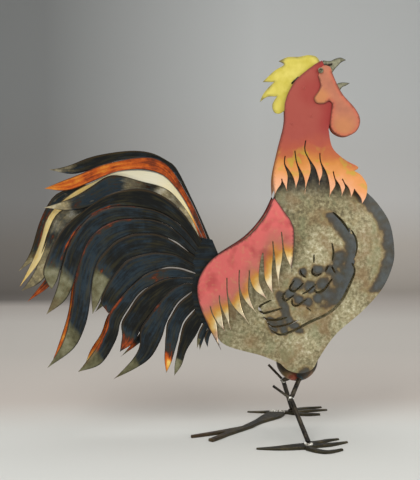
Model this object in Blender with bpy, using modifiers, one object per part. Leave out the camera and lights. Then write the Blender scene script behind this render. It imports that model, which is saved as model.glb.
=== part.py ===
"""A standing rooster of flame-cut sheet steel, about 0.66 m tall.

Two side plates, pinched together at the neck and at the tail, make a hollow body.
Saddle, hackle and face plates lie on each side of it, the comb and the beak are
held between its necks, and two sheets cut into feathers make the tail. The body
sits on a dished hip bowl, on two legs of round bar with flat cut feet.
Metres, +Z up, the beak to +X, the near side to -Y.
"""
import math

import bmesh
import bpy
from mathutils import Matrix, Vector

NAME = "sheet_metal_rooster"

# The outlines below are drawn on a grid in which the bird is 658 units tall:
# x towards the beak, z up from the floor.
HEIGHT = 0.658
GRID = HEIGHT / 658.0

# Thickness of each sheet, and the gap left between faces that touch
BODY_SHEET = 0.0025
TRIM_SHEET = 0.0020
COMB_SHEET = 0.0030
BEAK_SHEET = 0.0030
FEATHER_SHEET = 0.0015
TAIL_WEB = 0.0026
FOOT_PLATE = 0.0050
GAP = 0.0003

# How far each side plate stands from the middle plane at the belly
BELLY_HALF = 0.0250
BREAST_SHARE = 0.40

# Cuts and bends
KERF = 0.0018
FRINGE_KERF = 0.0020
HACKLE_FLARE = 0.0090
SADDLE_FLARE = 0.0120
TAIL_SPLAY = 0.0420
FEATHER_TILT = 0.0016
SPLAY_RUN = 400 * GRID

# Hip bowl and legs
BOWL_RADIUS = 0.0368
BOWL_DROP = 0.0368
BOWL_WALL = 0.0025
BOWL_RIM_Z = 0.1224
LEG_BAR = 0.0080
SPUR_BAR = 0.0045
EYE_RING = 0.0036
EYE_WIRE = 0.0012

# Half widths of the cut feet, at the ankle and at a claw
TOE_ROOT = 5.8 * GRID
TOE_CLAW = 1.8 * GRID
STAY_HALF = 5.8 * GRID
STAY_TIP = 2.2 * GRID
STAY_BLUNT = 4.8 * GRID

# Middle of the body plate where its neck and its tail end are pinched
NECK_HALF = COMB_SHEET / 2 + GAP + BODY_SHEET / 2
TAIL_HALF = GAP / 2 + TAIL_WEB + GAP + BODY_SHEET / 2
WEB_MIDDLE = GAP / 2 + TAIL_WEB / 2
TRIM_STEP = BODY_SHEET / 2 + GAP + TRIM_SHEET / 2
FACE_STEP = TRIM_STEP + TRIM_SHEET + GAP
BOWL_DEPTH = BELLY_HALF - BODY_SHEET / 2 - GAP

# How finely the bent blanks, the feathers and the flame-shaped fingers are divided
BLANK_CELL = 0.040
FEATHER_STEPS = 8
FLAME_STEPS = 4


def remove_all():
    for obj in list(bpy.data.objects):
        bpy.data.objects.remove(obj, do_unlink=True)
    for group in list(bpy.data.collections):
        bpy.data.collections.remove(group)


def material(name, colour, roughness, metallic):
    mat = bpy.data.materials.new(name)
    mat.use_nodes = True
    shader = mat.node_tree.nodes["Principled BSDF"]
    shader.inputs["Base Color"].default_value = (*colour, 1.0)
    shader.inputs["Roughness"].default_value = roughness
    shader.inputs["Metallic"].default_value = metallic
    mat.diffuse_color = (*colour, 1.0)
    return mat


def link(name, mesh, group):
    obj = bpy.data.objects.new(name, mesh)
    group.objects.link(obj)
    if group is cutters:
        obj.display_type = "WIRE"
        obj.hide_render = True
    return obj


def smooth(points, steps=2):
    """A Catmull-Rom curve through the points, from the first to the last."""
    ends = [points[0]] + list(points) + [points[-1]]
    curve = []
    for a, b, c, d in zip(ends, ends[1:], ends[2:], ends[3:]):
        for i in range(steps):
            t = i / steps
            curve.append(tuple(
                0.5 * (2 * q + (r - p) * t + (2 * p - 5 * q + 4 * r - s) * t * t
                       + (3 * q - p - 3 * r + s) * t ** 3)
                for p, q, r, s in zip(a, b, c, d)))
    curve.append(tuple(points[-1]))
    return curve


def resample(points, steps):
    """The same line at even distances, as vectors."""
    line = [Vector(p) for p in points]
    lengths = [0.0]
    for a, b in zip(line, line[1:]):
        lengths.append(lengths[-1] + (b - a).length)
    even = []
    k = 0
    for i in range(steps + 1):
        want = lengths[-1] * i / steps
        while k < len(line) - 2 and lengths[k + 1] < want:
            k += 1
        t = (want - lengths[k]) / (lengths[k + 1] - lengths[k])
        even.append(line[k].lerp(line[k + 1], min(1, max(0, t))))
    return even


def ease(value, start, end):
    """0 at start, 1 at end, with a soft turn at both."""
    t = min(1.0, max(0.0, (value - start) / (end - start)))
    return t * t * (3 - 2 * t)


def fringe(tips, slits, kerf):
    """The lower edge of a plate cut into flame-shaped fingers, from tip to tip.

    Each slit has its middle line from the top down, and how late it opens. Its
    edges part from the width of the cut at the top to the tips on both sides.
    """
    points = [tips[0]]
    for (middle, late), left, right in zip(slits, tips, tips[1:]):
        left, right = Vector(left), Vector(right)
        mouth = (left + right) / 2
        line = resample(smooth(middle + [tuple(mouth)], 3), FLAME_STEPS)
        rising = []
        falling = []
        for i, p in enumerate(line):
            share = i / FLAME_STEPS
            ahead = line[min(i + 1, FLAME_STEPS)] - line[max(i - 1, 0)]
            side = Vector((-ahead.y, ahead.x)).normalized()
            if side.dot(left - mouth) < 0:
                side = -side
            half = max(kerf / GRID / 2, (left - mouth).length * share ** late)
            blend = share ** 4
            rising.append(tuple(p + side * half * (1 - blend) + (left - mouth) * blend))
            falling.append(tuple(p - side * half * (1 - blend) + (right - mouth) * blend))
        points += rising[-2::-1] + falling
    return points


def slot(points, width, steps=2):
    """A cut that swells to its width in the middle and tapers to both ends."""
    line = [Vector(p) for p in smooth(points, steps)]
    left = []
    right = []
    last = len(line) - 1
    for i, p in enumerate(line):
        ahead = line[min(i + 1, last)] - line[max(i - 1, 0)]
        side = Vector((-ahead.y, ahead.x)).normalized()
        half = width / 2 * math.sin(math.pi * (0.06 + 0.88 * i / last)) ** 0.6
        left.append(tuple(p + side * half))
        right.append(tuple(p - side * half))
    return left + right[::-1]


def flat_plate(name, outlines, thickness, group, axis="XZ"):
    """A closed plate from outlines on the grid; the first holds the others."""
    curve = bpy.data.curves.new(name, "CURVE")
    curve.dimensions = "2D"
    curve.fill_mode = "BOTH"
    curve.extrude = thickness / 2
    for outline in outlines:
        spline = curve.splines.new("POLY")
        spline.points.add(len(outline) - 1)
        for point, (x, z) in zip(spline.points, outline):
            point.co = (x * GRID, z * GRID, 0, 1)
        spline.use_cyclic_u = True
    guide = bpy.data.objects.new(name + "_outline", curve)
    cutters.objects.link(guide)
    if axis == "XZ":
        guide.rotation_euler = (math.pi / 2, 0, 0)
    bpy.context.view_layer.update()
    flat = guide.evaluated_get(bpy.context.evaluated_depsgraph_get())
    mesh = bpy.data.meshes.new_from_object(flat)
    mesh.transform(guide.matrix_world)
    bpy.data.objects.remove(guide)
    work = bmesh.new()
    work.from_mesh(mesh)
    bmesh.ops.remove_doubles(work, verts=work.verts, dist=0.00002)
    bmesh.ops.recalc_face_normals(work, faces=work.faces)
    work.to_mesh(mesh)
    work.free()
    mesh.name = name
    return link(name, mesh, group)


def bent_plate(name, outlines, thickness, bend, look):
    """A blank of sheet, bent so that y = bend(x, z), cut through to the outlines."""
    cell = BLANK_CELL / GRID
    xs = [math.floor(x / cell) for x, z in outlines[0]]
    zs = [math.floor(z / cell) for x, z in outlines[0]]
    columns = max(xs) - min(xs) + 1
    rows = max(zs) - min(zs) + 1
    work = bmesh.new()
    bmesh.ops.create_grid(work, x_segments=columns, y_segments=rows, size=0.5)
    for v in work.verts:
        x = (min(xs) + (v.co.x + 0.5) * columns) * cell
        z = (min(zs) + (v.co.y + 0.5) * rows) * cell
        v.co = (x * GRID, bend(x, z), z * GRID)
    bmesh.ops.triangulate(work, faces=work.faces, quad_method="FIXED")
    mesh = bpy.data.meshes.new(name)
    work.to_mesh(mesh)
    work.free()
    plate = link(name, mesh, parts)
    plate.data.materials.append(look)
    wall = plate.modifiers.new("sheet", "SOLIDIFY")
    wall.thickness = thickness
    wall.offset = 0
    cutter = flat_plate(name + "_cut", outlines, 0.5, cutters)
    cut = plate.modifiers.new("flame_cut", "BOOLEAN")
    cut.operation = "INTERSECT"
    cut.object = cutter
    return plate


def body_bend(x, z):
    """Distance of a side plate's middle from the middle plane."""
    pinched = NECK_HALF + (TAIL_HALF - NECK_HALF) * ease(z, 450, 360)
    swell = ease(z, 480, 340) * ease(x, 2, 84)
    swell *= 1 - (1 - BREAST_SHARE) * ease(x, 250, 332)
    return pinched + (BELLY_HALF - pinched) * swell


def on_body(x, z, step):
    """Distance of a plate that lies a step outside the side plate."""
    tiny = 1.0
    slope_x = (body_bend(x + tiny, z) - body_bend(x - tiny, z)) / (2 * tiny * GRID)
    slope_z = (body_bend(x, z + tiny) - body_bend(x, z - tiny)) / (2 * tiny * GRID)
    return body_bend(x, z) + step * math.sqrt(1 + slope_x ** 2 + slope_z ** 2)


def hackle_bend(x, z):
    flare = ease(z, 500, 400)
    return on_body(x, z, TRIM_STEP) + HACKLE_FLARE * flare * flare


def face_bend(x, z):
    return on_body(x, z, FACE_STEP)


def saddle_bend(x, z):
    below = (x - 130) * 0.734 - (z - 351) * 0.679
    flare = ease(below, -6, 72)
    return on_body(x, z, TRIM_STEP) + SADDLE_FLARE * flare * flare


def both_sides(name, outlines, thickness, bend, look, far_outlines=None):
    for side, word in ((-1, "near"), (1, "far")):
        cuts = outlines
        if side > 0 and far_outlines:
            cuts = far_outlines
        bent_plate(f"{name}_{word}", cuts, thickness, lambda x, z: side * bend(x, z), look)


def body_plates():
    look = material("speckled_painted_steel", (0.24, 0.22, 0.13), 0.5, 0.4)
    back = smooth([(197, 634), (160, 604), (143, 577), (141, 537), (130, 490),
                   (121, 446), (122, 411), (104, 374), (72, 338), (23, 306),
                   (5, 288), (-9, 262), (-9, 226), (8, 186), (26, 158)])
    under = smooth([(26, 158), (43, 149), (95, 136), (130, 121)])
    under = under[:-1] + smooth([(130, 121), (142, 110), (163, 104), (184, 110), (194, 126)])
    breast = smooth([(194, 126), (225, 171), (275, 214), (310, 251), (328, 290),
                     (331, 322), (322, 366), (300, 400), (279, 421)])
    throat = smooth([(279, 421), (240, 460), (214, 510), (218, 556), (218, 582),
                     (213, 606), (210, 628), (197, 634)])
    outline = back[:-1] + under[:-1] + breast[:-1] + throat[:-1]
    leading = [
        slot([(220, 384), (230, 375), (241, 362), (248, 350)], 4.5),
        slot([(252, 353), (259, 340), (262, 324), (259, 308)], 4.0),
        slot([(253, 296), (258, 281), (248, 255), (235, 230), (213, 209), (181, 194),
              (150, 178), (128, 172), (113, 181)], 5.5),
    ]
    primaries = [
        slot([(113, 232), (93, 221), (98, 210), (112, 212), (132, 218)], 4.5),
        slot([(99, 203), (108, 198), (124, 198), (141, 202)], 4.5),
        slot([(106, 193), (113, 187), (124, 186), (142, 190), (160, 197)], 3.5),
    ]
    scallops = [
        slot([(138, 246), (133, 238), (138, 231), (152, 240)], 4.0),
        slot([(149, 234), (150, 225), (158, 222), (174, 233)], 4.0),
        slot([(174, 219), (182, 213)], 3.0),
        slot([(153, 266), (145, 253), (153, 247), (169, 261)], 4.0),
        slot([(167, 242), (179, 249), (191, 260)], 3.5),
        slot([(187, 250), (194, 245), (206, 251), (219, 269)], 4.5),
        slot([(163, 284), (166, 276), (173, 271)], 3.5),
        slot([(185, 287), (184, 279), (192, 274), (200, 278)], 4.0),
        slot([(212, 292), (207, 281)], 3.5),
        slot([(218, 290), (224, 279)], 3.5),
        slot([(187, 311), (187, 296)], 3.0),
        slot([(218, 331), (221, 315), (219, 300)], 3.5),
    ]
    near = [outline] + leading + primaries + scallops
    far = [outline] + leading + primaries
    both_sides("body_side", near, BODY_SHEET, body_bend, look, far)


def hackle_plates():
    look = material("red_painted_steel", (0.42, 0.09, 0.07), 0.45, 0.3)
    tips = [(119, 411), (140, 422), (156, 425), (171, 415), (197, 431), (213, 409),
            (235, 412), (251, 411), (270, 399)]
    slits = [
        ([(132, 442), (133, 430)], 1.4),
        ([(139, 482), (138, 468), (147, 447)], 1.5),
        ([(156, 491), (159, 471), (167, 445)], 2.0),
        ([(175, 509), (174, 490), (188, 459)], 3.0),
        ([(200, 487), (201, 473), (208, 450)], 2.0),
        ([(223, 455), (225, 443), (229, 429)], 2.0),
        ([(238, 442), (241, 435), (245, 425)], 1.6),
        ([(258, 424), (259, 415)], 1.0),
    ]
    back = smooth([(203, 648), (186, 638), (156, 612), (139, 577), (137, 537), (126, 492),
                   (117, 446), (119, 411)])
    front = smooth([(270, 399), (278, 412), (281, 431), (272, 448), (260, 456)])
    notch = smooth([(260, 456), (267, 463), (244, 476), (222, 497), (215, 529)])
    chin = smooth([(215, 529), (220, 554), (220, 582), (216, 604), (213, 622), (203, 648)])
    hem = fringe(tips, slits, FRINGE_KERF)
    outline = back[:-1] + hem + front[1:-1] + notch[:-1] + chin[:-1]
    both_sides("neck_hackle", [outline], TRIM_SHEET, hackle_bend, look)


def saddle_plates():
    look = material("coral_painted_steel", (0.62, 0.15, 0.11), 0.4, 0.4)
    tips = [(146, 281), (126, 250), (114, 245), (105, 234), (87, 210), (73, 193),
            (43, 181), (32, 178), (26, 146)]
    slits = [
        ([(130, 350), (133, 323), (135, 299)], 2.6),
        ([(115, 334), (117, 309), (117, 282)], 1.0),
        ([(98, 314), (96, 289), (97, 264)], 0.5),
        ([(75, 284), (75, 266), (80, 244)], 1.5),
        ([(58, 284), (58, 254), (65, 226)], 2.2),
        ([(37, 270), (38, 240), (46, 213)], 3.0),
        ([(24, 239), (25, 225), (31, 204)], 1.3),
        ([(8, 220), (12, 206), (20, 190)], 4.0),
    ]
    back = smooth([(26, 146), (6, 182), (-10, 220), (-15, 248), (-11, 270), (1, 291),
                   (21, 310), (70, 341), (101, 376), (118, 411)])
    front = smooth([(118, 411), (136, 385), (147, 368), (152, 350), (151, 318), (146, 281)])
    hem = fringe(tips, slits, FRINGE_KERF)
    outline = back[:-1] + front[:-1] + hem[:-1]
    both_sides("saddle", [outline], TRIM_SHEET, saddle_bend, look)


def face_plates():
    look = material("salmon_painted_steel", (0.55, 0.20, 0.13), 0.45, 0.3)
    brow = smooth([(196, 620), (201, 635), (209, 639), (217, 636), (220, 628)])
    cheek = smooth([(220, 628), (228, 609), (240, 588), (261, 565), (270, 545), (264, 526),
                    (245, 516), (227, 521), (218, 534), (219, 555), (221, 572), (215, 578)])
    lobe = smooth([(215, 578), (205, 573), (193, 574), (189, 583), (197, 595), (200, 605),
                   (196, 620)])
    outline = brow[:-1] + cheek[:-1] + lobe[:-1]
    both_sides("face_wattle", [outline], TRIM_SHEET, face_bend, look)


def eyes():
    look = material("dark_weld_steel", (0.08, 0.085, 0.08), 0.45, 0.8)
    x, z = 200, 630
    for side, word in ((-1, "near"), (1, "far")):
        y = face_bend(x, z) + TRIM_SHEET / 2 + GAP + EYE_WIRE
        bpy.ops.mesh.primitive_torus_add(
            major_radius=EYE_RING, minor_radius=EYE_WIRE,
            major_segments=14, minor_segments=6,
            location=(x * GRID, side * y, z * GRID), rotation=(math.pi / 2, 0, 0))
        ring = bpy.context.object
        ring.name = f"eye_{word}"
        ring.data.materials.append(look)
        ring.data.shade_smooth()
        for group in list(ring.users_collection):
            group.objects.unlink(ring)
        parts.objects.link(ring)


def comb_and_beak():
    yellow = material("yellow_painted_steel", (0.72, 0.66, 0.14), 0.5, 0.2)
    top = smooth([(201, 645), (194, 655), (181, 658), (163, 655), (143, 654), (128, 647)])
    back = smooth([(128, 647), (137, 641), (120, 630), (100, 611)])
    middle = smooth([(120, 611), (108, 599), (100, 588), (95, 576)])
    low = smooth([(95, 576), (108, 585), (125, 586)])
    drop = smooth([(125, 586), (117, 572), (120, 559), (129, 556), (137, 560)])
    crest = top[:-1] + back + middle[:-1] + low[:-1] + drop
    root = [(150, 566), (172, 596), (196, 622)]
    comb = flat_plate("comb", [crest + root], COMB_SHEET, parts)
    comb.data.materials.append(yellow)
    horn = material("horn_steel", (0.2, 0.2, 0.12), 0.5, 0.5)
    upper = [(203, 640), (206, 649), (218, 648), (227, 652), (237, 654), (246, 650),
             (238, 646), (232, 640), (228, 636), (222, 628), (206, 626)]
    lower = [(214, 614), (226, 606), (231, 609), (240, 611), (253, 610), (247, 606),
             (240, 603), (236, 598), (228, 592), (214, 600)]
    for name, outline in (("beak_upper", upper), ("beak_lower", lower)):
        beak = flat_plate(name, [outline], BEAK_SHEET, parts)
        beak.data.materials.append(horn)


def feather(name, upper, lower, side, splay, steps):
    """One cut feather: an open strip between two edges, as thick as the sheet.

    Both edges start in the web and meet at the tip. The strip leaves the middle
    plane as it runs out, and its upper edge leans to the near side.
    """
    top = resample(smooth(upper, 4), steps)
    low = resample(smooth(lower, 4), steps)
    lap = 9
    work = bmesh.new()
    rungs = []
    run = 0.0
    for i in range(-1, steps + 1):
        a, b = top[max(i, 0)], low[max(i, 0)]
        if i < 0:
            a = a + (top[0] - top[1]).normalized() * lap
            b = b + (low[0] - low[1]).normalized() * lap
        elif i > 0:
            run += ((a + b) / 2 - (top[i - 1] + low[i - 1]) / 2).length
        across = b - a
        inset = across.normalized() * min(KERF / GRID / 2, across.length * 0.3)
        out = side * (WEB_MIDDLE + splay * (run * GRID / SPLAY_RUN) ** 1.5)
        tilt = FEATHER_TILT * ease(run, 20, 120) * min(1, across.length / 14)
        rung = []
        for p, lean in ((a + inset, -tilt), (b - inset, tilt)):
            rung.append(work.verts.new((p.x * GRID, out + lean, p.y * GRID)))
        rungs.append(rung)
    for (a, b), (c, d) in zip(rungs, rungs[1:]):
        work.faces.new((a, b, d, c))
    bmesh.ops.remove_doubles(work, verts=work.verts, dist=0.0002)
    mesh = bpy.data.meshes.new(name)
    work.to_mesh(mesh)
    work.free()
    strip = link(name, mesh, cutters)
    wall = strip.modifiers.new("sheet", "SOLIDIFY")
    wall.thickness = FEATHER_SHEET
    wall.offset = 0
    return strip


# Cuts between neighbouring feathers of the near sheet, from the web outwards
RIM = [(-4, 330), (-33, 375), (-63, 405), (-97, 422), (-130, 424), (-174, 411),
       (-229, 371), (-252, 344), (-268, 312), (-276, 280)]
CUT_1 = [(-13, 325), (-37, 355), (-65, 377), (-97, 390), (-147, 395), (-182, 386),
         (-205, 371), (-224, 348), (-236, 326)]
CUT_2 = [(-19, 319), (-40, 341), (-65, 361), (-97, 372), (-139, 372), (-161, 367),
         (-182, 355), (-202, 334), (-219, 291)]
CUT_3 = [(-24, 312), (-56, 334), (-85, 346), (-114, 347), (-130, 345), (-153, 335),
         (-170, 320), (-188, 297), (-196, 266)]
CUT_4 = [(-25, 295), (-51, 309), (-74, 313), (-96, 313), (-130, 304), (-147, 290),
         (-165, 266), (-177, 245)]
CUT_5 = [(-20, 278), (-45, 286), (-70, 287), (-96, 280), (-114, 269), (-135, 250),
         (-149, 234), (-167, 210)]
CUT_6 = [(-24, 269), (-52, 270), (-74, 266), (-100, 253), (-118, 239), (-133, 217),
         (-147, 193)]
CUT_7 = [(-25, 259), (-38, 259), (-58, 249), (-79, 228), (-100, 201), (-114, 179)]
CUT_8 = [(-26, 243), (-47, 226), (-61, 204), (-69, 187)]
CUT_9 = [(-21, 212), (-37, 193), (-44, 174)]

NEAR_FEATHERS = [
    (RIM + [(-262, 254)], CUT_1 + [(-245, 298), (-253, 268), (-262, 254)]),
    (CUT_1 + [(-246, 292), (-254, 254), (-271, 211)],
     CUT_2 + [(-228, 258), (-242, 232), (-271, 211)]),
    (CUT_2 + [(-225, 262), (-231, 215), (-243, 165), (-269, 121)],
     CUT_3 + [(-200, 225), (-207, 190), (-226, 152), (-269, 121)]),
    (CUT_3 + [(-197, 240), (-195, 209)], CUT_4 + [(-186, 225), (-195, 209)]),
    (CUT_4 + [(-181, 228), (-170, 212)], CUT_5 + [(-170, 212)]),
    (CUT_5 + [(-172, 186), (-188, 152), (-220, 110)],
     CUT_6 + [(-157, 160), (-182, 122), (-220, 110)]),
    (CUT_6 + [(-146, 170), (-149, 142)], CUT_7 + [(-126, 157), (-149, 142)]),
    (CUT_7 + [(-115, 152), (-128, 128), (-160, 95)],
     CUT_8 + [(-80, 158), (-97, 130), (-123, 112), (-160, 95)]),
    (CUT_8 + [(-71, 150), (-72, 127), (-69, 103)], CUT_9 + [(-52, 148), (-60, 121), (-69, 103)]),
    (CUT_9 + [(-49, 144), (-54, 118), (-55, 98)],
     [(-2, 198), (-16, 170), (-33, 142), (-42, 116), (-55, 98)]),
]
NEAR_SHORT = [
    ([(-4, 190), (-14, 168), (-15, 144)], [(3, 186), (-6, 165), (-15, 144)]),
    ([(6, 184), (-2, 164), (4, 146)], [(14, 178), (7, 164), (4, 146)]),
]

# The far sheet has a top group of its own, and a few long feathers below it
FAR_FEATHERS = [
    ([(12, 328), (-6, 370), (-22, 405), (-49, 459), (-67, 475), (-97, 489), (-138, 492),
      (-197, 483), (-245, 466), (-278, 460)],
     [(5, 332), (-15, 382), (-36, 422), (-57, 456), (-78, 473), (-111, 479), (-158, 474),
      (-206, 458), (-240, 452), (-278, 460)], 1.15),
    ([(5, 332), (-15, 382), (-36, 422), (-57, 456), (-78, 474), (-111, 480), (-174, 469),
      (-224, 450), (-256, 438), (-285, 426)],
     [(-1, 332), (-32, 396), (-53, 428), (-76, 450), (-112, 459), (-156, 455), (-197, 439),
      (-233, 425), (-256, 422), (-285, 426)], 0.95),
    ([(-1, 332), (-32, 396), (-53, 428), (-76, 450), (-112, 458), (-156, 455), (-188, 441),
      (-229, 421), (-263, 394), (-281, 369), (-292, 334), (-305, 303), (-332, 250)],
     [(-7, 332), (-34, 382), (-50, 404), (-69, 424), (-104, 434), (-151, 437), (-184, 426),
      (-224, 407), (-254, 386), (-271, 362), (-282, 328), (-295, 295), (-332, 250)], 0.8),
    ([(-7, 332), (-20, 366), (-40, 397), (-67, 424), (-112, 438), (-151, 448), (-174, 445),
      (-202, 427), (-236, 408), (-283, 392)],
     [(-12, 332), (-28, 366), (-44, 388), (-66, 406), (-97, 417), (-129, 420), (-156, 414),
      (-197, 395), (-236, 387), (-283, 392)], 0.5),
    ([(-10, 322), (-60, 396), (-120, 436), (-190, 436), (-238, 426), (-263, 417), (-280, 398),
      (-297, 364), (-316, 310), (-339, 276)],
     [(-14, 318), (-64, 386), (-122, 424), (-190, 424), (-234, 412), (-258, 399), (-274, 380),
      (-288, 344), (-303, 303), (-339, 276)], 1.4),
    ([(-14, 318), (-64, 380), (-122, 410), (-190, 408), (-234, 396), (-262, 380), (-278, 350),
      (-291, 312), (-307, 274), (-330, 242)],
     [(-18, 312), (-68, 366), (-122, 392), (-186, 390), (-222, 374), (-244, 350), (-258, 316),
      (-276, 282), (-299, 255), (-330, 242)], 1.1),
    ([(-18, 312), (-70, 362), (-124, 384), (-184, 378), (-224, 358), (-250, 322), (-267, 290),
      (-285, 263), (-317, 224)],
     [(-20, 306), (-74, 350), (-126, 368), (-178, 362), (-214, 342), (-238, 310), (-259, 277),
      (-279, 250), (-317, 224)], 0.9),
    ([(-19, 316), (-66, 358), (-100, 368), (-139, 368), (-182, 351), (-206, 326), (-222, 290),
      (-230, 250), (-238, 206), (-253, 161), (-272, 121)],
     [(-22, 310), (-66, 346), (-100, 357), (-139, 356), (-170, 342), (-192, 318), (-207, 285),
      (-215, 245), (-224, 198), (-241, 152), (-272, 121)], 0.85),
    ([(-20, 290), (-60, 304), (-96, 304), (-130, 294), (-160, 262), (-180, 234), (-195, 207)],
     [(-22, 282), (-60, 294), (-96, 293), (-126, 282), (-150, 254), (-172, 226), (-195, 207)],
     0.9),
    ([(-20, 276), (-45, 284), (-70, 285), (-98, 277), (-122, 259), (-146, 232), (-168, 204),
      (-180, 170), (-200, 140), (-217, 104)],
     [(-24, 269), (-45, 274), (-70, 275), (-93, 266), (-115, 247), (-138, 220), (-156, 194),
      (-166, 165), (-186, 133), (-217, 104)], 0.85),
    ([(-25, 258), (-56, 248), (-82, 222), (-104, 193), (-120, 165), (-150, 128)],
     [(-27, 250), (-52, 238), (-74, 214), (-92, 186), (-108, 160), (-150, 128)], 0.8),
    ([(-24, 236), (-46, 214), (-58, 190), (-64, 165), (-66, 118)],
     [(-22, 226), (-38, 206), (-48, 184), (-54, 160), (-66, 118)], 0.8),
    ([(-18, 205), (-34, 184), (-42, 160), (-44, 118)],
     [(-8, 200), (-20, 178), (-30, 154), (-44, 118)], 0.7),
    ([(-4, 190), (-12, 166), (-10, 140)], [(6, 186), (-1, 166), (-10, 140)], 0.8),
]


def tail_sheets():
    dark = material("blued_steel", (0.03, 0.045, 0.06), 0.4, 0.7)
    tinted = material("heat_tinted_steel", (0.45, 0.22, 0.06), 0.35, 0.8)
    rear = [(-4, 340), (-8, 330), (-17, 316), (-22, 296), (-17, 279), (-22, 264),
            (-24, 244), (-19, 212), (-6, 192), (2, 180)]
    front = [(18, 176), (30, 198), (36, 230), (36, 268), (30, 292), (14, 316)]
    near = flat_plate("tail_sheet_near", [rear + front], TAIL_WEB, parts)
    near.data.transform(Matrix.Translation((0, -WEB_MIDDLE, 0)))
    near.data.materials.append(dark)
    rear = [(-10, 340), (-17, 316), (-22, 296), (-17, 279), (-22, 264),
            (-24, 244), (-19, 212), (-8, 192), (2, 180)]
    front = [(18, 176), (30, 198), (36, 230), (36, 268), (30, 292), (22, 312), (12, 336)]
    far = flat_plate("tail_sheet_far", [rear + front], TAIL_WEB, parts)
    far.data.transform(Matrix.Translation((0, WEB_MIDDLE, 0)))
    far.data.materials.append(tinted)
    for number, (upper, lower) in enumerate(NEAR_FEATHERS):
        strip = feather(f"near_feather_{number}", upper, lower, -1, TAIL_SPLAY, FEATHER_STEPS)
        fuse(near, strip)
    for number, (upper, lower) in enumerate(NEAR_SHORT):
        fuse(near, feather(f"near_short_{number}", upper, lower, -1, TAIL_SPLAY, 5))
    for number, (upper, lower, share) in enumerate(FAR_FEATHERS):
        strip = feather(f"far_feather_{number}", upper, lower, 1, TAIL_SPLAY * share,
                        FEATHER_STEPS)
        fuse(far, strip)


def fuse(obj, other):
    join = obj.modifiers.new("weld", "BOOLEAN")
    join.operation = "UNION"
    join.object = other


def hip_bowl():
    """A dished cap with its rim between the side plates."""
    look = material("forge_brown_steel", (0.06, 0.045, 0.025), 0.5, 0.6)
    work = bmesh.new()
    bmesh.ops.create_uvsphere(work, u_segments=20, v_segments=10, radius=1.0)
    bmesh.ops.bisect_plane(
        work, geom=work.verts[:] + work.edges[:] + work.faces[:], dist=0.00001,
        plane_co=(0, 0, 0), plane_no=(0, 0, 1), clear_outer=True)
    for v in work.verts:
        v.co = (v.co.x * BOWL_RADIUS, v.co.y * BOWL_DEPTH, v.co.z * BOWL_DROP)
    mesh = bpy.data.meshes.new("hip_bowl")
    work.to_mesh(mesh)
    work.free()
    bowl = link("hip_bowl", mesh, parts)
    bowl.location = (HIP_X * GRID, 0, BOWL_RIM_Z)
    wall = bowl.modifiers.new("sheet", "SOLIDIFY")
    wall.thickness = BOWL_WALL
    wall.offset = -1
    bowl.data.materials.append(look)
    mesh.shade_smooth()
    mesh.set_sharp_from_angle(angle=math.radians(40))


# Middle of the hip; each leg's knee and ankle, and the tip of its spur
HIP_X = 162
LEGS = {
    "near": {"hip": (163, -12), "knee": (145, -45, 64), "ankle": (164, -114),
             "spur": (114, -46, 87)},
    "far": {"hip": (155, 12), "knee": (142, 33, 80), "ankle": (169, 105),
            "spur": (116, 40, 107)},
}


def bar(name, points, diameter, look):
    """A round bar through the points, with closed ends."""
    curve = bpy.data.curves.new(name, "CURVE")
    curve.dimensions = "3D"
    curve.bevel_depth = diameter / 2
    curve.bevel_resolution = 2
    curve.use_fill_caps = True
    spline = curve.splines.new("POLY")
    spline.points.add(len(points) - 1)
    for point, co in zip(spline.points, points):
        point.co = (*co, 1)
    rod = bpy.data.objects.new(name, curve)
    parts.objects.link(rod)
    curve.materials.append(look)
    return rod


def cut_back(radius, one, two):
    """How far from their meeting point two bars end so that they stay apart."""
    half = one.angle(two) / 2
    return radius / math.tan(half) + GAP / 2


def legs():
    look = material("blackened_bar", (0.03, 0.026, 0.022), 0.45, 0.7)
    radius = LEG_BAR / 2
    for word, leg in LEGS.items():
        x, y = leg["hip"][0] * GRID, leg["hip"][1] * GRID
        knee = Vector(leg["knee"]) * GRID
        u = (x - HIP_X * GRID) / BOWL_RADIUS
        v = y / BOWL_DEPTH
        w = math.sqrt(1 - u * u - v * v)
        seat = Vector((x, y, BOWL_RIM_Z - BOWL_DROP * w))
        normal = Vector((u / BOWL_RADIUS, v / BOWL_DEPTH, -w / BOWL_DROP)).normalized()
        slope = math.sin((knee - seat).angle(normal))
        hip = seat + normal * (GAP * 2 + radius * slope)
        ankle = Vector((leg["ankle"][0] * GRID, leg["ankle"][1] * GRID,
                        FOOT_PLATE + GAP * 2 + radius))
        down = (ankle - knee).normalized()
        up = (hip - knee).normalized()
        back = (Vector(leg["spur"]) * GRID - knee).normalized()
        clear = cut_back(radius, up, down)
        ankle.z = FOOT_PLATE + GAP * 2 + radius * math.sin(down.angle(Vector((0, 0, -1))))
        bar(f"thigh_{word}", [hip, knee + up * clear], LEG_BAR, look)
        bar(f"shank_{word}", [knee + down * clear, ankle], LEG_BAR, look)
        start = max(cut_back(radius, back, up), cut_back(radius, back, down))
        bar(f"spur_{word}", [knee + back * start, Vector(leg["spur"]) * GRID], SPUR_BAR, look)


def limb(points, root, tip):
    """Both edges of a tapered flat toe, from the palm out to the claw and back."""
    line = [Vector(p) for p in smooth(points, 3)]
    last = len(line) - 1
    left = []
    right = []
    for i, p in enumerate(line):
        ahead = line[min(i + 1, last)] - line[max(i - 1, 0)]
        side = Vector((-ahead.y, ahead.x)).normalized()
        half = (root + (tip - root) * (i / last) ** 1.6) / GRID
        right.append(tuple(p - side * half))
        left.append(tuple(p + side * half))
    return right + left[::-1]


def beside_toe(palm, claw, distance):
    """A point at a distance along a straight toe, a gap away from its near edge."""
    start = Vector(palm)
    along = (Vector(claw) - start).normalized()
    side = Vector((-along.y, along.x))
    return tuple(start + along * distance + side * ((TOE_ROOT + GAP) / GRID))


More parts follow.
